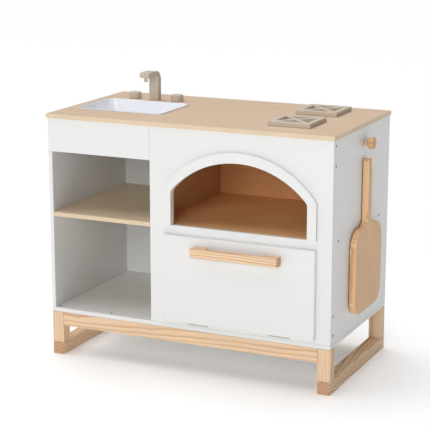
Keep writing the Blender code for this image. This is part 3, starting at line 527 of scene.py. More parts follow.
@shared("beech_laminate_face")
def beech_face(name):
    """Printed beech laminate: faint straight grain from side to side with short darker flecks."""
    recipe = Recipe(name, 0.42)
    tone = dye("beech")
    grain = recipe.mapped(scale=(0.035, 1, 1))
    bands = recipe.noise(grain, 48.0, 3.0, 0.55)
    fine = recipe.noise(grain, 420.0, 3.0, 0.6)
    flecks = recipe.noise(recipe.mapped(scale=(0.16, 1, 1)), 900.0, 1.0)
    base = recipe.mix(recipe.spread(bands, 0.0, 0.9), shade(tone, 1.07), shade(tone, 0.90, 0.82, 0.74))
    base = recipe.mottle(base, fine, 0.91, 1.09)
    base = recipe.fleck(base, flecks, 0.60, 0.74, (0.80, 0.72, 0.64), 0.7)
    return recipe.finish(base, recipe.spread(fine, 0.36, 0.50), fine, 0.06, 0.0002)


@shared("greige_stain_grate")
def stained(name):
    """Greige stain, with the wood's fine streaks showing through it from side to side."""
    recipe = Recipe(name)
    tone = dye("grate")
    streak = recipe.noise(recipe.mapped(scale=(0.03, 1, 1)), 520.0, 3.0, 0.6)
    drift = recipe.noise(recipe.place, 22.0)
    base = recipe.mix(drift, shade(tone, 0.96), shade(tone, 1.04))
    base = recipe.mottle(base, streak, 0.88, 1.12)
    return recipe.finish(base, recipe.spread(streak, 0.42, 0.60), streak, 0.12, 0.0003)


@shared("sink_plastic_gloss")
def plastic(name):
    """Glossy moulded plastic with a faint unevenness."""
    recipe = Recipe(name, 0.14, coat=0.35)
    tone = dye("sink")
    cloud = recipe.noise(recipe.place, 9.0)
    fine = recipe.noise(recipe.place, 700.0)
    base = recipe.mix(cloud, shade(tone, 0.985), shade(tone, 1.01))
    return recipe.finish(base, recipe.spread(fine, 0.11, 0.19), cloud, 0.05, 0.0006)


def steel(name, tone, roughness):
    """Bare metal with a fine worn grain."""
    recipe = Recipe(name, roughness, 1.0)
    fine = recipe.noise(recipe.place, 1500.0, 3.0)
    cloud = recipe.noise(recipe.place, 90.0)
    base = recipe.mix(cloud, shade(tone, 0.85), shade(tone, 1.15))
    return recipe.finish(base, recipe.spread(fine, roughness - 0.1, roughness + 0.1), fine, 0.1, 0.0001)


@shared("cotton_fibre")
def cotton(name):
    """Soft cotton yarn with a little fuzz."""
    recipe = Recipe(name, 0.95)
    recipe.shader.inputs["Sheen Weight"].default_value = 0.4
    tone = dye("cord")
    fuzz = recipe.noise(recipe.place, 2600.0, 3.0, 0.7)
    base = recipe.mix(fuzz, shade(tone, 0.88), shade(tone, 1.08))
    return recipe.finish(base, recipe.spread(fuzz, 0.85, 1.0), fuzz, 0.3, 0.0002)


@shared("white_paint_sprayed")
def white(name):
    return paint(name, dye("paint"))


@shared("greige_paint_brushed")
def greige(name):
    return paint(name, dye("greige"), 0.03, 0.48)


@shared("dark_steel_worn")
def dark_steel(name):
    return steel(name, (0.075, 0.072, 0.070), 0.38)


@shared("zinc_steel_rolled")
def zinc_steel(name):
    return steel(name, (0.42, 0.40, 0.37), 0.36)


# ---------------------------------------------------------------- mesh helpers


def arc(centre, radius, start, end, steps):
    """Points on an arc, both ends included. Angles are in degrees from the first axis."""
    angles = [math.radians(start + (end - start) * step / steps) for step in range(steps + 1)]
    return [(centre[0] + radius * math.cos(a), centre[1] + radius * math.sin(a)) for a in angles]


def circle(centre, radius, sides):
    return arc(centre, radius, 0, 360 - 360 / sides, sides - 1)


def hole(across, along, radius):
    """A round hole's outline, with air round what fills it."""
    return circle((across, along), radius + GAP, 24)


def rectangle(left, low, right, high):
    return [(left, low), (right, low), (right, high), (left, high)]


def round_rectangle(half_w, half_h, radius, steps):
    corners = ((1, 1, 0), (-1, 1, 90), (-1, -1, 180), (1, -1, 270))
    points = []
    for side, end, start in corners:
        points += arc((side * (half_w - radius), end * (half_h - radius)), radius, start, start + 90, steps)
    return points


def mirrored(right):
    """The left half of an outline, from its right half."""
    return [(-across, height) for across, height in reversed(right)]


def new_piece(name, bm, materials):
    """Turns a finished bmesh into an object at the origin, shaded smooth."""
    mesh = bpy.data.meshes.new(name)
    bm.to_mesh(mesh)
    bm.free()
    mesh.shade_smooth()
    obj = bpy.data.objects.new(name, mesh)
    bpy.context.scene.collection.objects.link(obj)
    for material in materials:
        mesh.materials.append(material)
    return obj


def even_normals(obj):
    """Keeps flat faces flat beside their rounded edges."""
    weighted = obj.modifiers.new("even_normals", "WEIGHTED_NORMAL")
    weighted.keep_sharp = True
    weighted.weight = 60
    return obj


def settle(obj, slot_name, body, *nodes):
    """Hides the CAD nodes that the piece stands in for, and hangs it on the body that it rides on.
    slot_name, the finish that it takes, is not used.
    """
    if nodes:
        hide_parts(*nodes)
    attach(obj, body)
    return obj


def bevel_edges(bm, edges, radius, segments=3):
    bmesh.ops.bevel(
        bm,
        geom=list(edges),
        offset=radius,
        offset_type="OFFSET",
        affect="EDGES",
        segments=segments,
        profile=0.5,
        material=-1,
        clamp_overlap=True,
    )


def is_sharp(edge, angle):
    return edge.is_manifold and edge.calc_face_angle(0.0) > math.radians(angle)


def mark_creases(bm):
    for edge in bm.edges:
        if is_sharp(edge, CREASE):
            edge.smooth = False


def sawn_end(along):
    """Tells whether a face lies across the grain, from its normal."""
    axis = "xyz".index(along)
    return lambda normal: abs(normal[axis]) > 0.7


def on_the_edge(across):
    """Tells whether a face is on a board's edge, from its normal; across is the board's thin direction."""
    axis = "xyz".index(across)
    return lambda normal: abs(normal[axis]) < 0.5


def mark_second(bm, second):
    """Gives the second material to the faces that second picks."""
    for face in bm.faces:
        if second and second(face.normal):
            face.material_index = 1


def box_bmesh(low, high):
    bm = bmesh.new()
    bmesh.ops.create_cube(bm, size=1.0)
    bmesh.ops.scale(bm, vec=high - low, verts=bm.verts)
    bmesh.ops.translate(bm, vec=(low + high) / 2, verts=bm.verts)
    return bm


def eased_board(node, radius, materials, slot_name, second=None):
    """A board with all twelve edges rounded, in place of a CAD board."""
    bm = box_bmesh(*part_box(node))
    mark_second(bm, second)
    bevel_edges(bm, bm.edges, radius)
    settle(even_normals(new_piece(node + "_finished", bm, materials)), slot_name, "root", node)


def outline_bmesh(outlines, thick, place):
    """A flat outline, with its holes, cut from a sheet whose middle lies in the place's own XY plane."""
    curve = bpy.data.curves.new("outline", "CURVE")
    curve.dimensions = "2D"
    curve.fill_mode = "BOTH"
    curve.extrude = thick / 2
    for outline in outlines:
        spline = curve.splines.new("POLY")
        spline.points.add(len(outline) - 1)
        for point, (across, along) in zip(spline.points, outline):
            point.co = (across, along, 0.0, 1.0)
        spline.use_cyclic_u = True
    drawn = bpy.data.objects.new("outline", curve)
    bpy.context.scene.collection.objects.link(drawn)
    graph = bpy.context.evaluated_depsgraph_get()
    mesh = bpy.data.meshes.new_from_object(drawn.evaluated_get(graph))
    bpy.data.objects.remove(drawn, do_unlink=True)
    bm = bmesh.new()
    bm.from_mesh(mesh)
    bpy.data.meshes.remove(mesh)
    bmesh.ops.remove_doubles(bm, verts=bm.verts, dist=0.000001)
    bmesh.ops.transform(bm, matrix=place, verts=bm.verts)
    bmesh.ops.recalc_face_normals(bm, faces=bm.faces)
    return bm


def plate(
    node, ride, outlines, thick, place, radius, materials, second=None, segments=3, angle=35, eases=None
):
    """A sheet cut to an outline, with its sharp edges rounded by a live bevel, in place of a CAD node.

    ride gives its finish, which is not used, and its body, and second picks the faces that take the second
    material.

    eases picks the edges to round, from an edge's middle; the others stay crisp.
    """
    bm = outline_bmesh(outlines, thick, place)
    mark_second(bm, second)
    if eases:
        weight = bm.edges.layers.float.new("bevel_weight_edge")
        for edge in bm.edges:
            if is_sharp(edge, angle):
                edge.smooth = eases((edge.verts[0].co + edge.verts[1].co) / 2)
                edge[weight] = float(edge.smooth)
    obj = new_piece(node + "_finished", bm, materials)
    bevel = obj.modifiers.new("eased_edges", "BEVEL")
    bevel.width = radius
    bevel.segments = segments
    bevel.limit_method = "WEIGHT" if eases else "ANGLE"
    bevel.angle_limit = math.radians(angle)
    bevel.profile = 0.5
    bevel.material = -1
    return settle(even_normals(obj), *ride, node)


def turned_bmesh(profile, sides, place):
    """A closed turned shape from (radius, height) points that start and end on the axis."""
    bm = bmesh.new()
    verts = [bm.verts.new((radius, 0.0, height)) for radius, height in profile]
    edges = [bm.edges.new(pair) for pair in zip(verts, verts[1:])]
    bmesh.ops.spin(
        bm,
        geom=verts + edges,
        cent=(0, 0, 0),
        axis=(0, 0, 1),
        dvec=(0, 0, 0),
        angle=2 * math.pi,
        steps=sides,
        use_merge=True,
        use_duplicate=False,
    )
    bmesh.ops.remove_doubles(bm, verts=bm.verts, dist=0.00001)
    bmesh.ops.recalc_face_normals(bm, faces=bm.faces)
    bmesh.ops.transform(bm, matrix=place, verts=bm.verts)
    mark_creases(bm)
    return bm


def turned(node, slot_name, body, profile, sides, place, material):
    """A turned piece in place of a CAD node."""
    obj = new_piece(node + "_finished", turned_bmesh(profile, sides, place), [material])
    settle(even_normals(obj), slot_name, body, node)


def grow(bm, edges):
    """Extrudes a ring of edges where it lies, and gives the new verts and the new ring."""
    made = bmesh.ops.extrude_edge_only(bm, edges=edges)["geom"]
    verts = [item for item in made if isinstance(item, bmesh.types.BMVert)]
    rings = [item for item in made if isinstance(item, bmesh.types.BMEdge)]
    return verts, [edge for edge in rings if all(vert in verts for vert in edge.verts)]


def grown_from(ring, verts):
    """The new verts in the order of the ring that they were grown from."""
    return [next(e.other_vert(old) for e in old.link_edges if e.other_vert(old) in verts) for old in ring]


def socket_screw(name, place, long, body, *nodes, sunk=SCREW_SUNK):
    """A countersunk screw with a six-sided socket. Its own Z points out of the wood."""
    bm = bmesh.new()
    start_r = SCREW_HEAD_R - SCREW_EASE
    rim = bmesh.ops.create_circle(bm, segments=36, radius=start_r)["verts"]
    hexagon = bmesh.ops.create_circle(bm, segments=6, radius=SCREW_SOCKET_R * 1.12)["verts"]
    rim_edges = [edge for edge in bm.edges if edge.verts[0] in rim]
    hex_edges = [edge for edge in bm.edges if edge.verts[0] in hexagon]
    bmesh.ops.bridge_loops(bm, edges=rim_edges + hex_edges)
    head_and_shank = (
        (SCREW_HEAD_R / start_r, -SCREW_EASE),
        (1.0, -SCREW_HEAD_T + SCREW_EASE),
        (SCREW_SHANK_R / SCREW_HEAD_R, 0.0),
        (1.0, -long + SCREW_HEAD_T),
        (0.4, -SCREW_TIP),
    )
    for edges, rings in ((hex_edges, ((1.0, -SCREW_SOCKET_DEEP),)), (rim_edges, head_and_shank)):
        for share, down in rings:
            verts, edges = grow(bm, edges)
            bmesh.ops.scale(bm, vec=(share, share, 1.0), verts=verts)
            bmesh.ops.translate(bm, vec=(0, 0, down), verts=verts)
        bmesh.ops.contextual_create(bm, geom=edges)
    bmesh.ops.recalc_face_normals(bm, faces=bm.faces)
    bmesh.ops.translate(bm, vec=(0, 0, -sunk), verts=bm.verts)
    bmesh.ops.transform(bm, matrix=place, verts=bm.verts)
    mark_creases(bm)
    settle(new_piece(name, bm, [dark_steel()]), "dark_steel", body, *nodes)


def finished_screw(node, axis, way, body):
    """The finished screw in place of a CAD screw whose head is at the far end of an axis."""
    low, high, head = span(node)
    head[axis] = high[axis]
    place = Matrix.Translation(head) @ way
    socket_screw(node + "_finished", place, high[axis] - low[axis] - SCREW_TIP, body, node)


def crisp(obj):
    """Keeps the shading of two faces apart where they meet at a crease."""
    bm = bmesh.new()
    bm.from_mesh(obj.data)
    mark_creases(bm)
    bm.to_mesh(obj.data)
    bm.free()
    return obj


def cut_by(obj, cutter_bmesh):
    """Carves a shape out of a piece and removes the cutter."""
    cutter = new_piece(obj.name + "_cutter", cutter_bmesh, [])
    boolean = obj.modifiers.new("cut", "BOOLEAN")
    boolean.operation = "DIFFERENCE"
    boolean.solver = "EXACT"
    boolean.object = cutter
    graph = bpy.context.evaluated_depsgraph_get()
    mesh = bpy.data.meshes.new_from_object(obj.evaluated_get(graph))
    obj.modifiers.remove(boolean)
    obj.data = mesh
    bpy.data.objects.remove(cutter, do_unlink=True)
    return obj


def disc_cutter(node, face, way):
    """A round cutter that makes room for a disc let into a board's face."""
    low, high, centre = span(node)
    radius = (high.x - low.x) / 2 + GAP
    deep = high.y - low.y + GAP
    profile = [(0, PROUD), (radius, PROUD), (radius, -deep), (0, -deep)]
    return turned_bmesh(profile, 32, laid(centre.x, face, centre.z, way))


def sweep(bm, section, path, twist):
    """Draws a closed section along a path, and turns it by twist radians a metre. Its ends are capped."""
    ahead = (path[1] - path[0]).normalized()
    side = ahead.orthogonal().normalized()
    made = bmesh.ops.create_circle(bm, segments=len(section), radius=1.0)["verts"]
    ring = sorted(made, key=lambda vert: math.atan2(vert.co.y, vert.co.x) % (2 * math.pi))
    first_edges = edges = list({edge for vert in ring for edge in vert.link_edges})
    turned_by = 0.0
    for number, point in enumerate(path):
        if number:
            before, after = path[number - 1], path[min(number + 1, len(path) - 1)]
            ahead = (after - before).normalized()
            side = (side - ahead * side.dot(ahead)).normalized()
            turned_by += twist * (point - before).length
            verts, edges = grow(bm, edges)
            ring = grown_from(ring, verts)
        across = ahead.cross(side)
        for vert, (angle, radius) in zip(ring, section):
            lie = angle + turned_by
            vert.co = point + (side * math.cos(lie) + across * math.sin(lie)) * radius
    bmesh.ops.contextual_create(bm, geom=first_edges)
    bmesh.ops.contextual_create(bm, geom=edges)


def strand_section(radius, sides=18, lobes=3, depth=0.16):
    """The outline of twisted strands: a circle with one shallow lobe for each."""
    angles = [2 * math.pi * side / sides for side in range(sides)]
    return [(angle, radius * (1 - depth * (0.5 - 0.5 * math.cos(lobes * angle)))) for angle in angles]


def smooth_route(points, spacing, fine_steps=12):
    """Points a fixed spacing apart on the smooth curve that passes through the route's points."""
    route = [Vector(point) for point in points]
    ends = [2 * route[0] - route[1]] + route + [2 * route[-1] - route[-2]]
    fine = []
    for before, start, end, after in zip(ends, ends[1:], ends[2:], ends[3:]):
        for step in range(fine_steps):
            t = step / fine_steps
            square = (2 * before - 5 * start + 4 * end - after) * t**2
            cube = (3 * start - before - 3 * end + after) * t**3
            fine.append(0.5 * (2 * start + (end - before) * t + square + cube))
    fine.append(route[-1])
    travelled = [0.0]
    for first, second in zip(fine, fine[1:]):
        travelled.append(travelled[-1] + (second - first).length)
    count = round(travelled[-1] / spacing)
    kept = []
    index = 0
    for number in range(count + 1):
        target = travelled[-1] * number / count
        while index < len(fine) - 2 and travelled[index + 1] < target:
            index += 1
        share = (target - travelled[index]) / (travelled[index + 1] - travelled[index])
        kept.append(fine[index].lerp(fine[index + 1], share))
    return kept, travelled[-1]


# ---------------------------------------------------------------- stage


class KITCHEN_OT_stage(bpy.types.Operator):
    """Adds the camera, the pale floor and the soft lights"""

    bl_idname = "kitchen.stage"
    bl_label = "Stage"

    def execute(self, context):
        scene = context.scene
        studio = scene.kitchen_studio
        camera = bpy.data.objects.new("camera", bpy.data.cameras.new("camera"))
        camera.data.lens = studio.lens
        camera.data.sensor_width = 36.0
        camera.data.clip_end = 200.0
        camera.location = CAMERA_PLACE
        camera.rotation_euler = (math.radians(90 - CAMERA_DOWN), 0.0, math.radians(CAMERA_ROUND))
        scene.collection.objects.link(camera)
        scene.camera = camera

        bm = bmesh.new()
        bmesh.ops.create_grid(bm, x_segments=1, y_segments=1, size=FLOOR_REACH)
        bmesh.ops.translate(bm, vec=(0, 0, -FLOOR_DROP), verts=bm.verts)
        paper = paint("floor_paper", (0.93, 0.93, 0.93), 0.004, 0.85)
        shader = paper.node_tree.nodes["Principled BSDF"]
        shader.inputs["Emission Color"].default_value = (1, 1, 1, 1)
        shader.inputs["Emission Strength"].default_value = FLOOR_GLOW
        new_piece("floor", bm, [paper])

        scene.view_settings.view_transform = "Standard"
        world = bpy.data.worlds.new("studio")
        world.use_nodes = True
        backdrop = world.node_tree.nodes["Background"]
        backdrop.inputs["Color"].default_value = (1.0, 1.0, 1.0, 1.0)
        backdrop.inputs["Strength"].default_value = studio.sky
        scene.world = world

        key = bpy.data.lights.new("key", "SUN")
        key.energy = studio.key
        key.angle = math.radians(KEY_SPREAD)
        self.hang(key, KEY_PLACE)
        softbox = bpy.data.lights.new("softbox", "AREA")
        softbox.shape = "SQUARE"
        softbox.size = SOFTBOX_SIZE
        softbox.energy = studio.fill
        self.hang(softbox, SOFTBOX_PLACE)
        return {"FINISHED"}

    def hang(self, lamp, place):
        """Hangs a light and turns it to the middle of the kitchen."""
        light = bpy.data.objects.new(lamp.name, lamp)
        light.location = place
        towards = sum(CAD_BOX, Vector()) / 2 - light.location
        light.rotation_euler = towards.to_track_quat("-Z", "Y").to_euler()
        bpy.context.scene.collection.objects.link(light)


# ---------------------------------------------------------------- cord


class KITCHEN_OT_cord(bpy.types.Operator):
    """Twists the peel's hanging loop, and ties its knot on the peg"""

    bl_idname = "kitchen.cord"
    bl_label = "Hanging cord"

    def execute(self, context):
        start = Vector((RIGHT_FACE, PEG_MID.y, PEG_MID.z))
        points, long = smooth_route(CORD_ROUTE, CORD_STEP)
        path = [start + point for point in points]
        twist = 2 * math.pi / sizes().cord_twist
        bm = bmesh.new()
        sweep(bm, strand_section(CORD_DIAMETER / 2), path, twist)
        bmesh.ops.recalc_face_normals(bm, faces=bm.faces)
        loop = new_piece("hanging_cord_finished", bm, [cotton()])

        tie = start + Vector(KNOT_PLACE)
        turns = []
        for step in range(KNOT_STEPS + 1):  # two turns of cord, wandering in and out
            angle = 4 * math.pi * step / KNOT_STEPS
            radius = 0.0014 + 0.0005 * math.cos(1.5 * angle)
            height = -0.0012 + 0.0024 * step / KNOT_STEPS + 0.0003 * math.sin(1.5 * angle)
            turns.append(tie + Vector((radius * math.cos(angle), radius * math.sin(angle), height)))
        bm = bmesh.new()
        sweep(bm, strand_section(KNOT_CORD_R, 12), turns, twist)
        for side in (-1, 1):  # two short tails
            tail = [(0.0, side * 0.0004, 0.0), (0.0002, side * 0.0009, 0.004)]
            tail += [(-0.0002, side * 0.0014, 0.010), (0.0004 * side, side * 0.0023, 0.0160 + 0.0012 * side)]
            points, _ = smooth_route(tail, CORD_STEP)
            sweep(bm, strand_section(TAIL_CORD_R, 12), [tie + point for point in points], twist)
        bmesh.ops.recalc_face_normals(bm, faces=bm.faces)
        knot = new_piece("cord_knot_finished", bm, [cotton()])
        settle(knot, "cotton_cord", "hanging_peel", "cord_knot")
        settle(loop, "cotton_cord", "hanging_peel", "hanging_cord")
        return {"FINISHED"}


# ---------------------------------------------------------------- pine base


class KITCHEN_OT_base(bpy.types.Operator):
    """Rounds the pine runners, legs and rails, each with its own grain"""

    bl_idname = "kitchen.base"
    bl_label = "Pine base"

    def execute(self, context):
        for node, along, off, lean, contrast in (
            ("left_runner", "y", (0.024, 0.0, -0.030), 0.026, 1.3),
            ("right_runner", "y", (-0.024, 0.0, -0.034), 0.030, 1.35),
            ("front_left_leg", "z", (0.062, 0.018, 0.0), 0.014, 0.8),
            ("front_right_leg", "z", (-0.070, 0.012, 0.0), 0.012, 0.7),
            ("back_left_leg", "z", (0.020, -0.060, 0.0), 0.014, 0.9),
            ("back_right_leg", "z", (0.016, 0.062, 0.0), 0.012, 0.9),
            ("front_rail", "x", (0.0, 0.058, 0.030), 0.014, 0.9),
            ("back_rail", "x", (0.0, -0.034, -0.012), 0.025, 1.1),
        ):
            look = pine(node, along, span(node)[2] + Vector(off), lean, BASE_RING, contrast)
            eased_board(node, sizes().bar_edge, look, "pine", sawn_end(along))
        return {"FINISHED"}


# ---------------------------------------------------------------- cabinet


class KITCHEN_OT_carcass(bpy.types.Operator):
    """Makes the painted boards round the bays and the oven"""

    bl_idname = "kitchen.carcass"
    bl_label = "Painted boards"

    def execute(self, context):
        for node in ("bottom_panel", "divider_panel", "apron_panel"):
            eased_board(node, sizes().board_edge, [white()], "white_paint")
        eased_board("back_panel", THIN_EDGE, [white()], "white_paint")

        low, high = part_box("right_side_panel")
        holes = [hole(*span(screw)[2].yz, SCREW_HEAD_R) for screw in SIDE_SCREWS]
        holes.append(hole(PEG_MID.y, PEG_MID.z, PEG_TENON_R))
        self.side("right_side_panel", rectangle(low.y, low.z, high.y, high.z), holes)

        low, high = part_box("left_side_panel")
        apron_low, apron_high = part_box("apron_panel")
        notch, under = apron_high.y + GAP, apron_low.z - GAP
        outline = [(low.y, low.z), (high.y, low.z), (high.y, high.z)]
        outline += [(notch, high.z), (notch, under), (low.y, under)]
        holes = [hole(*span(screw)[2].yz, SCREW_HEAD_R) for screw in SHELF_SCREWS]
        self.side("left_side_panel", outline, holes)
        return {"FINISHED"}

    def side(self, node, outline, holes):
        """One side panel as a sheet with the holes that its screws fill."""
        low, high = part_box(node)
        place = laid((low.x + high.x) / 2, 0, 0, UP_THE_SIDE)
        plate(node, WHITE_ON_ROOT, [outline] + holes, high.x - low.x, place, sizes().board_edge, [white()])


class KITCHEN_OT_screws(bpy.types.Operator):
    """Makes the socket screws in the two sides and in the left bay's floor"""

    bl_idname = "kitchen.screws"
    bl_label = "Socket screws"

    def execute(self, context):
        for node in SIDE_SCREWS:
            finished_screw(node, 0, TO_RIGHT, "root")
        for end, node in zip(("front", "back"), SHELF_SCREWS):
            place = laid(LEFT_FACE, *span(node)[2].yz, TO_LEFT)
            socket_screw(f"left_shelf_{end}_screw", place, SHELF_SCREW_LONG, "root")
        for end, (x, y) in BAY_SCREWS.items():
            place = laid(x, y, BAY_FLOOR + BAY_SCREW_PROUD)
            socket_screw(f"bay_floor_{end}_screw", place, BAY_SCREW_LONG, "root", sunk=0.0)
        return {"FINISHED"}


# ---------------------------------------------------------------- oven and shelf


class KITCHEN_OT_oven(bpy.types.Operator):
    """Lines the oven with brown boards, each painted lighter or darker for the light that falls on it, and
    lays the shelf in the left bays
    """

    bl_idname = "kitchen.oven"
    bl_label = "Oven and shelf"

    def execute(self, context):
        tone = dye("oven")
        dark = shade(tone, 0.70, 0.56, 0.44)
        centre = span("oven_back_lining")[2]
        # One veneer for all four boards, and each share paints light and shade on it: the floor painted
        # lighter as if lit, the left lining darker as if in shade, the back and the right lining a little
        # darker and more orange.
        for node, along, off, share, contrast in (
            ("oven_floor", "x", (0.0, 0.05, -0.10), (1.10, 1.06, 1.04), 1.1),
            ("oven_back_lining", "x", (0.0, -0.12, 0.06), (0.99, 0.84, 0.72), 0.4),
            ("oven_left_lining", "z", (0.12, 0.05, 0.0), (0.76, 0.74, 0.78), 0.7),
            ("oven_right_lining", "z", (-0.12, 0.05, 0.0), (0.92, 0.86, 0.82), 0.7),
        ):
            name = "oven_wood_" + node.split("_")[1]
            pith = centre + Vector(off)
            light = shade(tone, *share)
            grain = {"ring": OVEN_RING, "wobble": 0.020, "lean": 0.012, "contrast": contrast, "pores": 0.25}
            look = wood(name, along, pith, light, shade(dark, *share), **grain)
            eased_board(node, THIN_EDGE, [look], "oven_wood")

        ply = dye("ply")
        pith = span("shelf")[2] + Vector((0, 0.04, -0.16))
        grain = {"ring": 0.009, "wobble": 0.030, "lean": 0.012, "contrast": 0.45}
        face = wood("birch_ply_face", "x", pith, shade(ply, 1.02), shade(ply, 0.86, 0.78, 0.66), **grain)
        eased_board("shelf", SHELF_EDGE, [face, ply_edge()], "birch_ply", on_the_edge("z"))
        return {"FINISHED"}


# ---------------------------------------------------------------- front


def arch_outline(half, low, top, rise, steps):
    """An arch from its right foot over to its left foot: straight sides, fillets, and one flat arc."""
    radius = (half * half + rise * rise) / (2 * rise)
    mid = top - radius
    fillet_x = half - ARCH_FILLET
    fillet_z = mid + math.sqrt((radius - ARCH_FILLET) ** 2 - fillet_x**2)
    lean = math.degrees(math.atan2(fillet_z - mid, fillet_x))
    right_side = [(half, low)] + arc((fillet_x, fillet_z), ARCH_FILLET, 0, lean, 10)
    crown = arc((0.0, mid), radius, lean, 180 - lean, steps)[1:-1]
    return right_side + crown + mirrored(right_side)


def inner_arch():
    half = (ARCH_HIGH.x - ARCH_LOW.x) / 2 - ARCH_SIDE_W
    return arch_outline(half, ARCH_LOW.z, ARCH_HIGH.z - ARCH_TOP_W, ARCH_INNER_RISE, sizes().curve_steps)


class KITCHEN_OT_front(bpy.types.Operator):
    """Cuts the front panel and the arch moulding round the oven's mouth"""

    bl_idname = "kitchen.front"
    bl_label = "Front panel and arch"

    def execute(self, context):
        half = (PANEL_HIGH.x - PANEL_LOW.x) / 2
        mouth = (FLAP_HIGH.x - FLAP_LOW.x) / 2 - FLAP_OVERLAP
        outlines = [
            rectangle(-half, PANEL_LOW.z, half, PANEL_HIGH.z),
            inner_arch(),
            rectangle(-mouth, FLAP_LOW.z + FLAP_OVERLAP, mouth, FLAP_HIGH.z - FLAP_OVERLAP),
        ]
        place = laid(PANEL_MID.x, PANEL_MID.y, 0, TO_FRONT)
        thick = PANEL_HIGH.y - PANEL_LOW.y
        panel = plate("front_panel", WHITE_ON_ROOT, outlines, thick, place, sizes().board_edge, [white()])
        for side in SIDES:
            low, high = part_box(side + "_hinge_cabinet_leaf")
            cut_by(panel, box_bmesh(low - ROOM, high + ROOM))
        cut_by(panel, disc_cutter("magnet_catch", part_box("magnet_catch")[0].y, TO_FRONT))

        half = (ARCH_HIGH.x - ARCH_LOW.x) / 2
        outer = arch_outline(half, ARCH_LOW.z, ARCH_HIGH.z, ARCH_RISE, sizes().curve_steps)
        plate(
            "arch_moulding",
            WHITE_ON_ROOT,
            [outer + list(reversed(inner_arch()))],
            ARCH_HIGH.y - ARCH_LOW.y,
            laid(PANEL_MID.x, ARCH_MID.y, 0, TO_FRONT),
            sizes().moulding_edge,
            [white()],
            segments=4,
            eases=lambda spot: spot.y < ARCH_HIGH.y - GAP,
        )
        return {"FINISHED"}


class KITCHEN_OT_flap(bpy.types.Operator):
    """Makes the drop-down flap with its soft edges, and its pine handle"""

    bl_idname = "kitchen.flap"
    bl_label = "Flap and handle"

    def execute(self, context):
        bm = box_bmesh(FLAP_LOW, FLAP_HIGH)
        halfway = (FLAP_LOW.y + FLAP_HIGH.y) / 2
        not_back = [edge for edge in bm.edges if any(vert.co.y < halfway for vert in edge.verts)]
        bevel_edges(bm, not_back, sizes().flap_edge, 5)
        flap = new_piece("flap_door_finished", bm, [white()])
        for side in SIDES:
            low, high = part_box(side + "_hinge_door_leaf")
            low = Vector((low.x, low.y, FLAP_LOW.z - PROUD))
            cut_by(flap, box_bmesh(low + Vector((-GAP, -GAP, 0)), high + ROOM + Vector((0, PROUD, 0))))
        cut_by(flap, disc_cutter("strike_plate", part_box("strike_plate")[1].y, TO_BACK))
        head, shank = SCREW_HEAD_R + GAP, SCREW_SHANK_R + GAP
        seat, through = -SCREW_HEAD_T - GAP, -0.02
        bore = [(0, PROUD), (head, PROUD), (head, seat), (shank, seat), (shank, through), (0, through)]
        for side in SIDES:
            _, high, centre = span(side + "_handle_screw")
            cut_by(flap, turned_bmesh(bore, 24, laid(centre.x, high.y, centre.z, TO_BACK)))
        settle(even_normals(crisp(flap)), "white_paint", "flap", "flap_door")
        self.handle()
        for side in SIDES:
            finished_screw(side + "_handle_screw", 1, TO_BACK, "flap")
        return {"FINISHED"}

    def handle(self):
        low, high, centre = span("door_handle")
        half = (high.x - low.x) / 2
        inner = half - HANDLE_FOOT
        out = high.y - low.y
        depth = out - HANDLE_BAR
        left = [(-half, 0.0), (-half, -out)]
        right = [(half, -out), (half, 0.0), (inner, 0.0)]
        under = [(inner, -depth + HANDLE_CHAMFER), (inner - HANDLE_CHAMFER, -depth)]
        under += [(-inner + HANDLE_CHAMFER, -depth), (-inner, -depth + HANDLE_CHAMFER), (-inner, 0.0)]
        pith = centre + Vector((0.0, 0.030, -0.046))
        plate(
            "door_handle",
            ("pine", "flap"),
            [left + right + under],
            high.z - low.z,
            laid(centre.x, high.y, centre.z),
            sizes().handle_edge,
            pine("door_handle", "x", pith, 0.016, HANDLE_RING, 1.2),
            sawn_end("x"),
            angle=30,
            eases=lambda spot: spot.y < high.y - GAP,
        )


# ---------------------------------------------------------------- worktop, sink, tap, knobs and grates


def sink_mouth():
    """Half width and half depth of the bowl's mouth."""
    return (SINK_HIGH.x - SINK_LOW.x) / 2 - SINK_RIM, (SINK_HIGH.y - SINK_LOW.y) / 2 - SINK_RIM


class KITCHEN_OT_worktop(bpy.types.Operator):
    """Cuts the beech worktop round the sink, the tap's dowel and the two spindles"""

    bl_idname = "kitchen.worktop"
    bl_label = "Worktop"

    def execute(self, context):
        half_w, half_d = sink_mouth()
        spare = SINK_WALL + SINK_SEAT
        opening = round_rectangle(half_w + spare, half_d + spare, SINK_CORNER + spare, SINK_CORNER_STEPS)
        outlines = [
            rectangle(TOP_LOW.x, TOP_LOW.y, TOP_HIGH.x, TOP_HIGH.y),
            [(SINK_MID.x + across, SINK_MID.y + along) for across, along in opening],
        ]
        outlines.append(hole(*span("tap_pivot_dowel")[2].xy, PIVOT_R))
        outlines += [hole(*span(side + "_knob_spindle")[2].xy, SPINDLE_R) for side in SIDES]
        thick = TOP_HIGH.z - TOP_LOW.z
        looks = [beech_face(), ply_edge()]
        place, edge = laid(0, 0, TOP_MID.z), sizes().worktop_edge
        ride = ("beech_laminate", "root")
        plate("worktop", ride, outlines, thick, place, edge, looks, on_the_edge("z"))
        return {"FINISHED"}


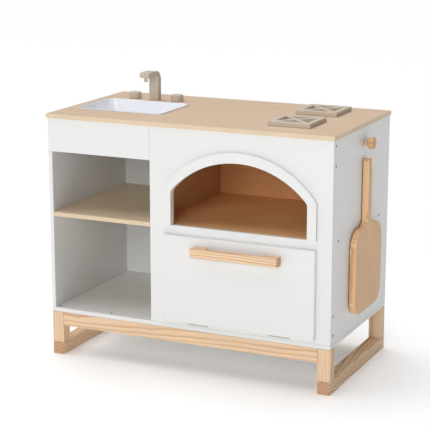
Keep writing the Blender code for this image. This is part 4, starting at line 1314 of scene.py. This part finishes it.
class KITCHEN_OT_sink(bpy.types.Operator):
    """Draws the sink's bowl ring by ring from its floor to its rim, and gives it a wall"""

    bl_idname = "kitchen.sink"
    bl_label = "Sink"

    def execute(self, context):
        half_w, half_d = sink_mouth()
        lean = SINK_SLOPE / SINK_DEEP
        rings = []
        for step in range(9):  # fillet between the floor and the walls
            angle = math.radians(90 * step / 8)
            rise = SINK_FILLET * (1 - math.cos(angle))
            inset = SINK_SLOPE - lean * rise + SINK_FILLET * (1 - math.sin(angle))
            rings.append((inset, -SINK_DEEP + rise))
        for step in range(5):  # rolled lip
            angle = math.radians(90 * step / 4)
            inset = SINK_LIP_INSET - SINK_LIP * (1 - math.cos(angle))
            rings.append((inset, -SINK_LIP * (1 - math.sin(angle))))
        rings += [(-SINK_RIM + 0.0012, 0.0), (-SINK_RIM + 0.0004, -0.0003), (-SINK_RIM, -0.0011)]
        outlines = []
        for inset, height in rings:
            outline = round_rectangle(half_w - inset, half_d - inset, SINK_CORNER, SINK_CORNER_STEPS)
            outlines.append([Vector((across, along, height)) for across, along in outline])
        bm = bmesh.new()
        ring = [bm.verts.new(place) for place in outlines[0]]
        floor = bm.faces.new(ring)
        if floor.normal.z < 0:
            floor.normal_flip()
        edges = bm.edges[:]
        for upper in outlines[1:]:
            verts, edges = grow(bm, edges)
            ring = grown_from(ring, verts)
            for vert, place in zip(ring, upper):
                vert.co = place
        bmesh.ops.translate(bm, vec=(SINK_MID.x, SINK_MID.y, SINK_HIGH.z), verts=bm.verts)
        obj = new_piece("sink_basin_finished", bm, [plastic()])
        wall = obj.modifiers.new("wall", "SOLIDIFY")
        wall.thickness = SINK_WALL
        wall.offset = -1.0
        wall.use_even_offset = True
        settle(even_normals(obj), "sink_plastic", "sink", "sink_basin")
        return {"FINISHED"}


class KITCHEN_OT_tap(bpy.types.Operator):
    """Shapes the tap's post and spout, its nozzle and the two knobs"""

    bl_idname = "kitchen.tap"
    bl_label = "Tap and knobs"

    def execute(self, context):
        pivot = span("tap_pivot_dowel")[2]
        foot = TAP_LOW.z
        tall = TAP_HIGH.z - foot
        reach = pivot.y - TAP_LOW.y
        back = TAP_T / 2
        under = tall - SPOUT_H
        nose = -reach + SPOUT_NOSE_R
        outline = (
            [(-back, 0.0), (back, 0.0)]
            + arc((back - TAP_BACK_R, tall - TAP_BACK_R), TAP_BACK_R, 0, 90, 16)
            + arc((nose, tall - SPOUT_NOSE_R), SPOUT_NOSE_R, 90, 180, 6)
            + arc((nose, under + SPOUT_NOSE_R), SPOUT_NOSE_R, 180, 270, 6)
            + arc((-back - SPOUT_FILLET, under - SPOUT_FILLET), SPOUT_FILLET, 90, 0, 8)
        )
        plate(
            "tap_spout",
            ("greige_paint", "tap"),
            [outline],
            TAP_HIGH.x - TAP_LOW.x,
            laid(pivot.x, pivot.y, foot, UP_THE_SIDE),
            sizes().tap_edge,
            [greige()],
            segments=4,
            eases=lambda spot: spot.z > foot + GAP,
        )

        low, high, centre = span("tap_nozzle")
        drop = -(high.z - low.z - NOZZLE_TENON)
        mouth = drop + NOZZLE_MOUTH_DEEP
        tenon, tenon_r = NOZZLE_TENON, NOZZLE_TENON_R
        profile = [(0.0, tenon), (tenon_r, tenon), (tenon_r, 0.0), (NOZZLE_R, 0.0)]
        profile += arc((NOZZLE_R - NOZZLE_EDGE, drop + NOZZLE_EDGE), NOZZLE_EDGE, 0, -90, 4)
        profile += [(NOZZLE_R - 0.0016, drop), (NOZZLE_MOUTH_R, mouth), (0.0, mouth)]
        place = laid(centre.x, centre.y, high.z - NOZZLE_TENON)
        turned("tap_nozzle", "greige_paint", "tap", profile, 40, place, greige())

        edge = sizes().knob_edge
        bore, top = SPINDLE_R + GAP, SPINDLE_UP + GAP
        for side in SIDES:
            node = side + "_tap_knob"
            low, high, centre = span(node)
            radius = (high.x - low.x) / 2
            tall = high.z - low.z
            profile = [(0.0, tall), (radius * 0.35, tall - KNOB_DOME * 0.12)]
            profile += [(radius * 0.7, tall - KNOB_DOME * 0.5)]
            profile += arc((radius - edge, tall - KNOB_DOME - edge), edge, 84, 0, 6)
            profile += arc((radius - KNOB_FOOT_EDGE, KNOB_FOOT_EDGE), KNOB_FOOT_EDGE, 0, -90, 3)
            profile += [(bore, 0.0), (bore, top), (0.0, top)]
            place = laid(centre.x, centre.y, low.z)
            turned(node, "greige_paint", side + "_knob", profile, TURNED_SIDES, place, greige())
        return {"FINISHED"}


class KITCHEN_OT_grates(bpy.types.Operator):
    """Cuts the two hob grates with their crossed bars"""

    bl_idname = "kitchen.grates"
    bl_label = "Hob grates"

    def execute(self, context):
        for node in ("back_hob_grate", "front_hob_grate"):
            low, high, centre = span(node)
            half = (high.x - low.x) / 2
            inner = half - GRATE_FRAME
            step = GRATE_CROSS / math.sqrt(2)
            outlines = [rectangle(-half, -half, half, half)]
            triangle = [(0.0, -step), (-inner + step, -inner), (inner - step, -inner)]
            for turn in range(4):
                c, s = math.cos(math.radians(90 * turn)), math.sin(math.radians(90 * turn))
                outlines.append([(c * x - s * y, s * x + c * y) for x, y in triangle])
            edge, place = sizes().grate_edge, laid(*centre)
            ride = ("greige_paint", "root")
            plate(node, ride, outlines, high.z - low.z, place, edge, [stained()])
        return {"FINISHED"}


# ---------------------------------------------------------------- peg and peel


class KITCHEN_OT_peg(bpy.types.Operator):
    """Turns the pine peg on the right side"""

    bl_idname = "kitchen.peg"
    bl_label = "Peg"

    def execute(self, context):
        out = PEG_HIGH.x - RIGHT_FACE
        back = PEG_LOW.x - RIGHT_FACE
        profile = [(0.0, out), (PEG_HEAD_R * 0.4, out - PEG_DOME * 0.2)]
        profile += [(PEG_HEAD_R * 0.75, out - PEG_DOME * 0.7)]
        profile += arc((PEG_HEAD_R - PEG_EDGE, out - PEG_DOME - PEG_EDGE), PEG_EDGE, 82, 0, 6)
        profile += arc((PEG_HEAD_R - PEG_EDGE, PEG_NECK + PEG_EDGE), PEG_EDGE, 0, -90, 6)
        profile += [(PEG_NECK_R + 0.0012, PEG_NECK), (PEG_NECK_R + 0.0003, PEG_NECK - 0.0004)]
        profile += [(PEG_NECK_R, PEG_NECK - 0.0014), (PEG_NECK_R, GAP)]
        profile += [(PEG_TENON_R, GAP), (PEG_TENON_R, back), (0.0, back)]
        warm = shade(dye("pine_light"), 0.80, 0.68, 0.54)
        pith = Vector((RIGHT_FACE, PEG_MID.y + 0.006, PEG_MID.z - 0.010))
        look = wood("pine_peg", "x", pith, warm, shade(warm, 0.70, 0.58, 0.46), ring=0.0044, wobble=0.006)
        place = laid(RIGHT_FACE, PEG_MID.y, PEG_MID.z, TO_RIGHT)
        turned("peg", "pine", "root", profile, TURNED_SIDES, place, look)
        return {"FINISHED"}


def peel_outline():
    """The peel's outline below its top: a round-ended handle that flares into a square blade."""
    shoulder = -PEEL_SHOULDER
    low = -(PEEL_HIGH.z - PEEL_LOW.z)
    half = (PEEL_HIGH.y - PEEL_LOW.y) / 2
    right = (
        arc((0.0, -PEEL_HANDLE_R), PEEL_HANDLE_R, 90, 0, 12)
        + arc((PEEL_HANDLE_R + PEEL_NECK_R, shoulder + PEEL_NECK_R), PEEL_NECK_R, 180, 270, 12)
        + arc((half - PEEL_SHOULDER_R, shoulder - PEEL_SHOULDER_R), PEEL_SHOULDER_R, 90, 0, 16)
        + arc((half - PEEL_CORNER_R, low + PEEL_CORNER_R), PEEL_CORNER_R, 0, -90, 16)
    )
    return right + mirrored(right)[:-1]


class KITCHEN_OT_peel(bpy.types.Operator):
    """Cuts the pizza peel with its well rounded edges, and paints its rim lighter than its face for the
    light that falls on the edges
    """

    bl_idname = "kitchen.peel"
    bl_label = "Pizza peel"

    def execute(self, context):
        outlines = [peel_outline(), circle((0.0, -PEEL_HOLE_DROP), PEEL_HOLE_R, 40)]
        tone = dye("peel")
        pith = PEEL_MID + Vector((0.012, 0.05, 0.0))
        face_grain = {"ring": 0.0070, "wobble": 0.012, "lean": 0.016, "contrast": 0.95}
        rim_grain = {"ring": 0.0050, "wobble": 0.006, "lean": 0.012, "contrast": 1.1}
        # The rim is the same wood painted lighter than the face, a painted highlight for light on the edges;
        # its finer, stronger rings are the wood's own.
        face_dark, rim_dark = shade(tone, 0.74, 0.60, 0.46), shade(tone, 0.86, 0.66, 0.48)
        looks = [
            wood("peel_wood_grain", "z", pith, shade(tone, 1.16), face_dark, **face_grain),
            wood("peel_wood_rim", "z", pith, shade(tone, 1.30), rim_dark, **rim_grain),
        ]
        plate(
            "peel",
            ("peel_wood", "hanging_peel"),
            outlines,
            PEEL_HIGH.x - PEEL_LOW.x,
            laid(PEEL_MID.x, PEEL_MID.y, PEEL_HIGH.z, UP_THE_SIDE),
            sizes().peel_edge,
            looks,
            on_the_edge("x"),
            segments=5,
            angle=60,
        )
        return {"FINISHED"}


# ---------------------------------------------------------------- fittings that keep their CAD shape


class KITCHEN_OT_fittings(bpy.types.Operator):
    """Gives the hinges, pins, catch, spindles, dowel and battens their real finishes"""

    bl_idname = "kitchen.fittings"
    bl_label = "Hidden fittings"

    def execute(self, context):
        for side in SIDES:
            for end in ("hinge_cabinet_leaf", "hinge_door_leaf", "hinge_pin"):
                self.dress(f"{side}_{end}", zinc_steel())
            self.dress(side + "_knob_spindle", dark_steel())
            for level in ("upper", "lower"):
                self.dress_pine(f"{level}_{side}_batten", (0.01, 0.02, 0.0))
        self.dress("magnet_catch", dark_steel())
        self.dress("strike_plate", zinc_steel())
        self.dress_pine("tap_pivot_dowel", (0.01, 0.0, 0.0))
        return {"FINISHED"}

    def dress_pine(self, node, off):
        self.dress(node, pine(node, "z", span(node)[2] + Vector(off))[0])


    def dress(self, node, material):
        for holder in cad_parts[node].material_slots:
            holder.material = material


# ---------------------------------------------------------------- panel and main


OPERATORS = (
    KITCHEN_OT_stage,
    KITCHEN_OT_cord,
    KITCHEN_OT_base,
    KITCHEN_OT_carcass,
    KITCHEN_OT_screws,
    KITCHEN_OT_oven,
    KITCHEN_OT_front,
    KITCHEN_OT_flap,
    KITCHEN_OT_worktop,
    KITCHEN_OT_sink,
    KITCHEN_OT_tap,
    KITCHEN_OT_grates,
    KITCHEN_OT_peg,
    KITCHEN_OT_peel,
    KITCHEN_OT_fittings,
)


class KITCHEN_PT_panel(bpy.types.Panel):
    """Lists the kitchen's operators with its sizes and colours"""

    bl_idname = "KITCHEN_PT_panel"
    bl_label = "Toy kitchen"
    bl_space_type = "VIEW_3D"
    bl_region_type = "UI"
    bl_category = "Kitchen"

    def draw(self, context):
        scene = context.scene
        for operator in OPERATORS:
            self.layout.operator(operator.bl_idname)
        for group in (scene.kitchen_sizes, scene.kitchen_colours, scene.kitchen_studio):
            box = self.layout.box()
            for name in group.__annotations__:
                box.prop(group, name)


GROUPS = {"kitchen_sizes": KitchenSizes, "kitchen_colours": KitchenColours, "kitchen_studio": KitchenStudio}
CLASSES = (*GROUPS.values(), *OPERATORS, KITCHEN_PT_panel)


def register():
    for made in CLASSES:
        bpy.utils.register_class(made)
    for name, group in GROUPS.items():
        setattr(bpy.types.Scene, name, PointerProperty(type=group))


def unregister():
    for name in GROUPS:
        delattr(bpy.types.Scene, name)
    for made in reversed(CLASSES):
        bpy.utils.unregister_class(made)


def main():
    register()
    for operator in OPERATORS:
        group, name = operator.bl_idname.split(".")
        getattr(getattr(bpy.ops, group), name)()


if __name__ == "__main__":
    main()
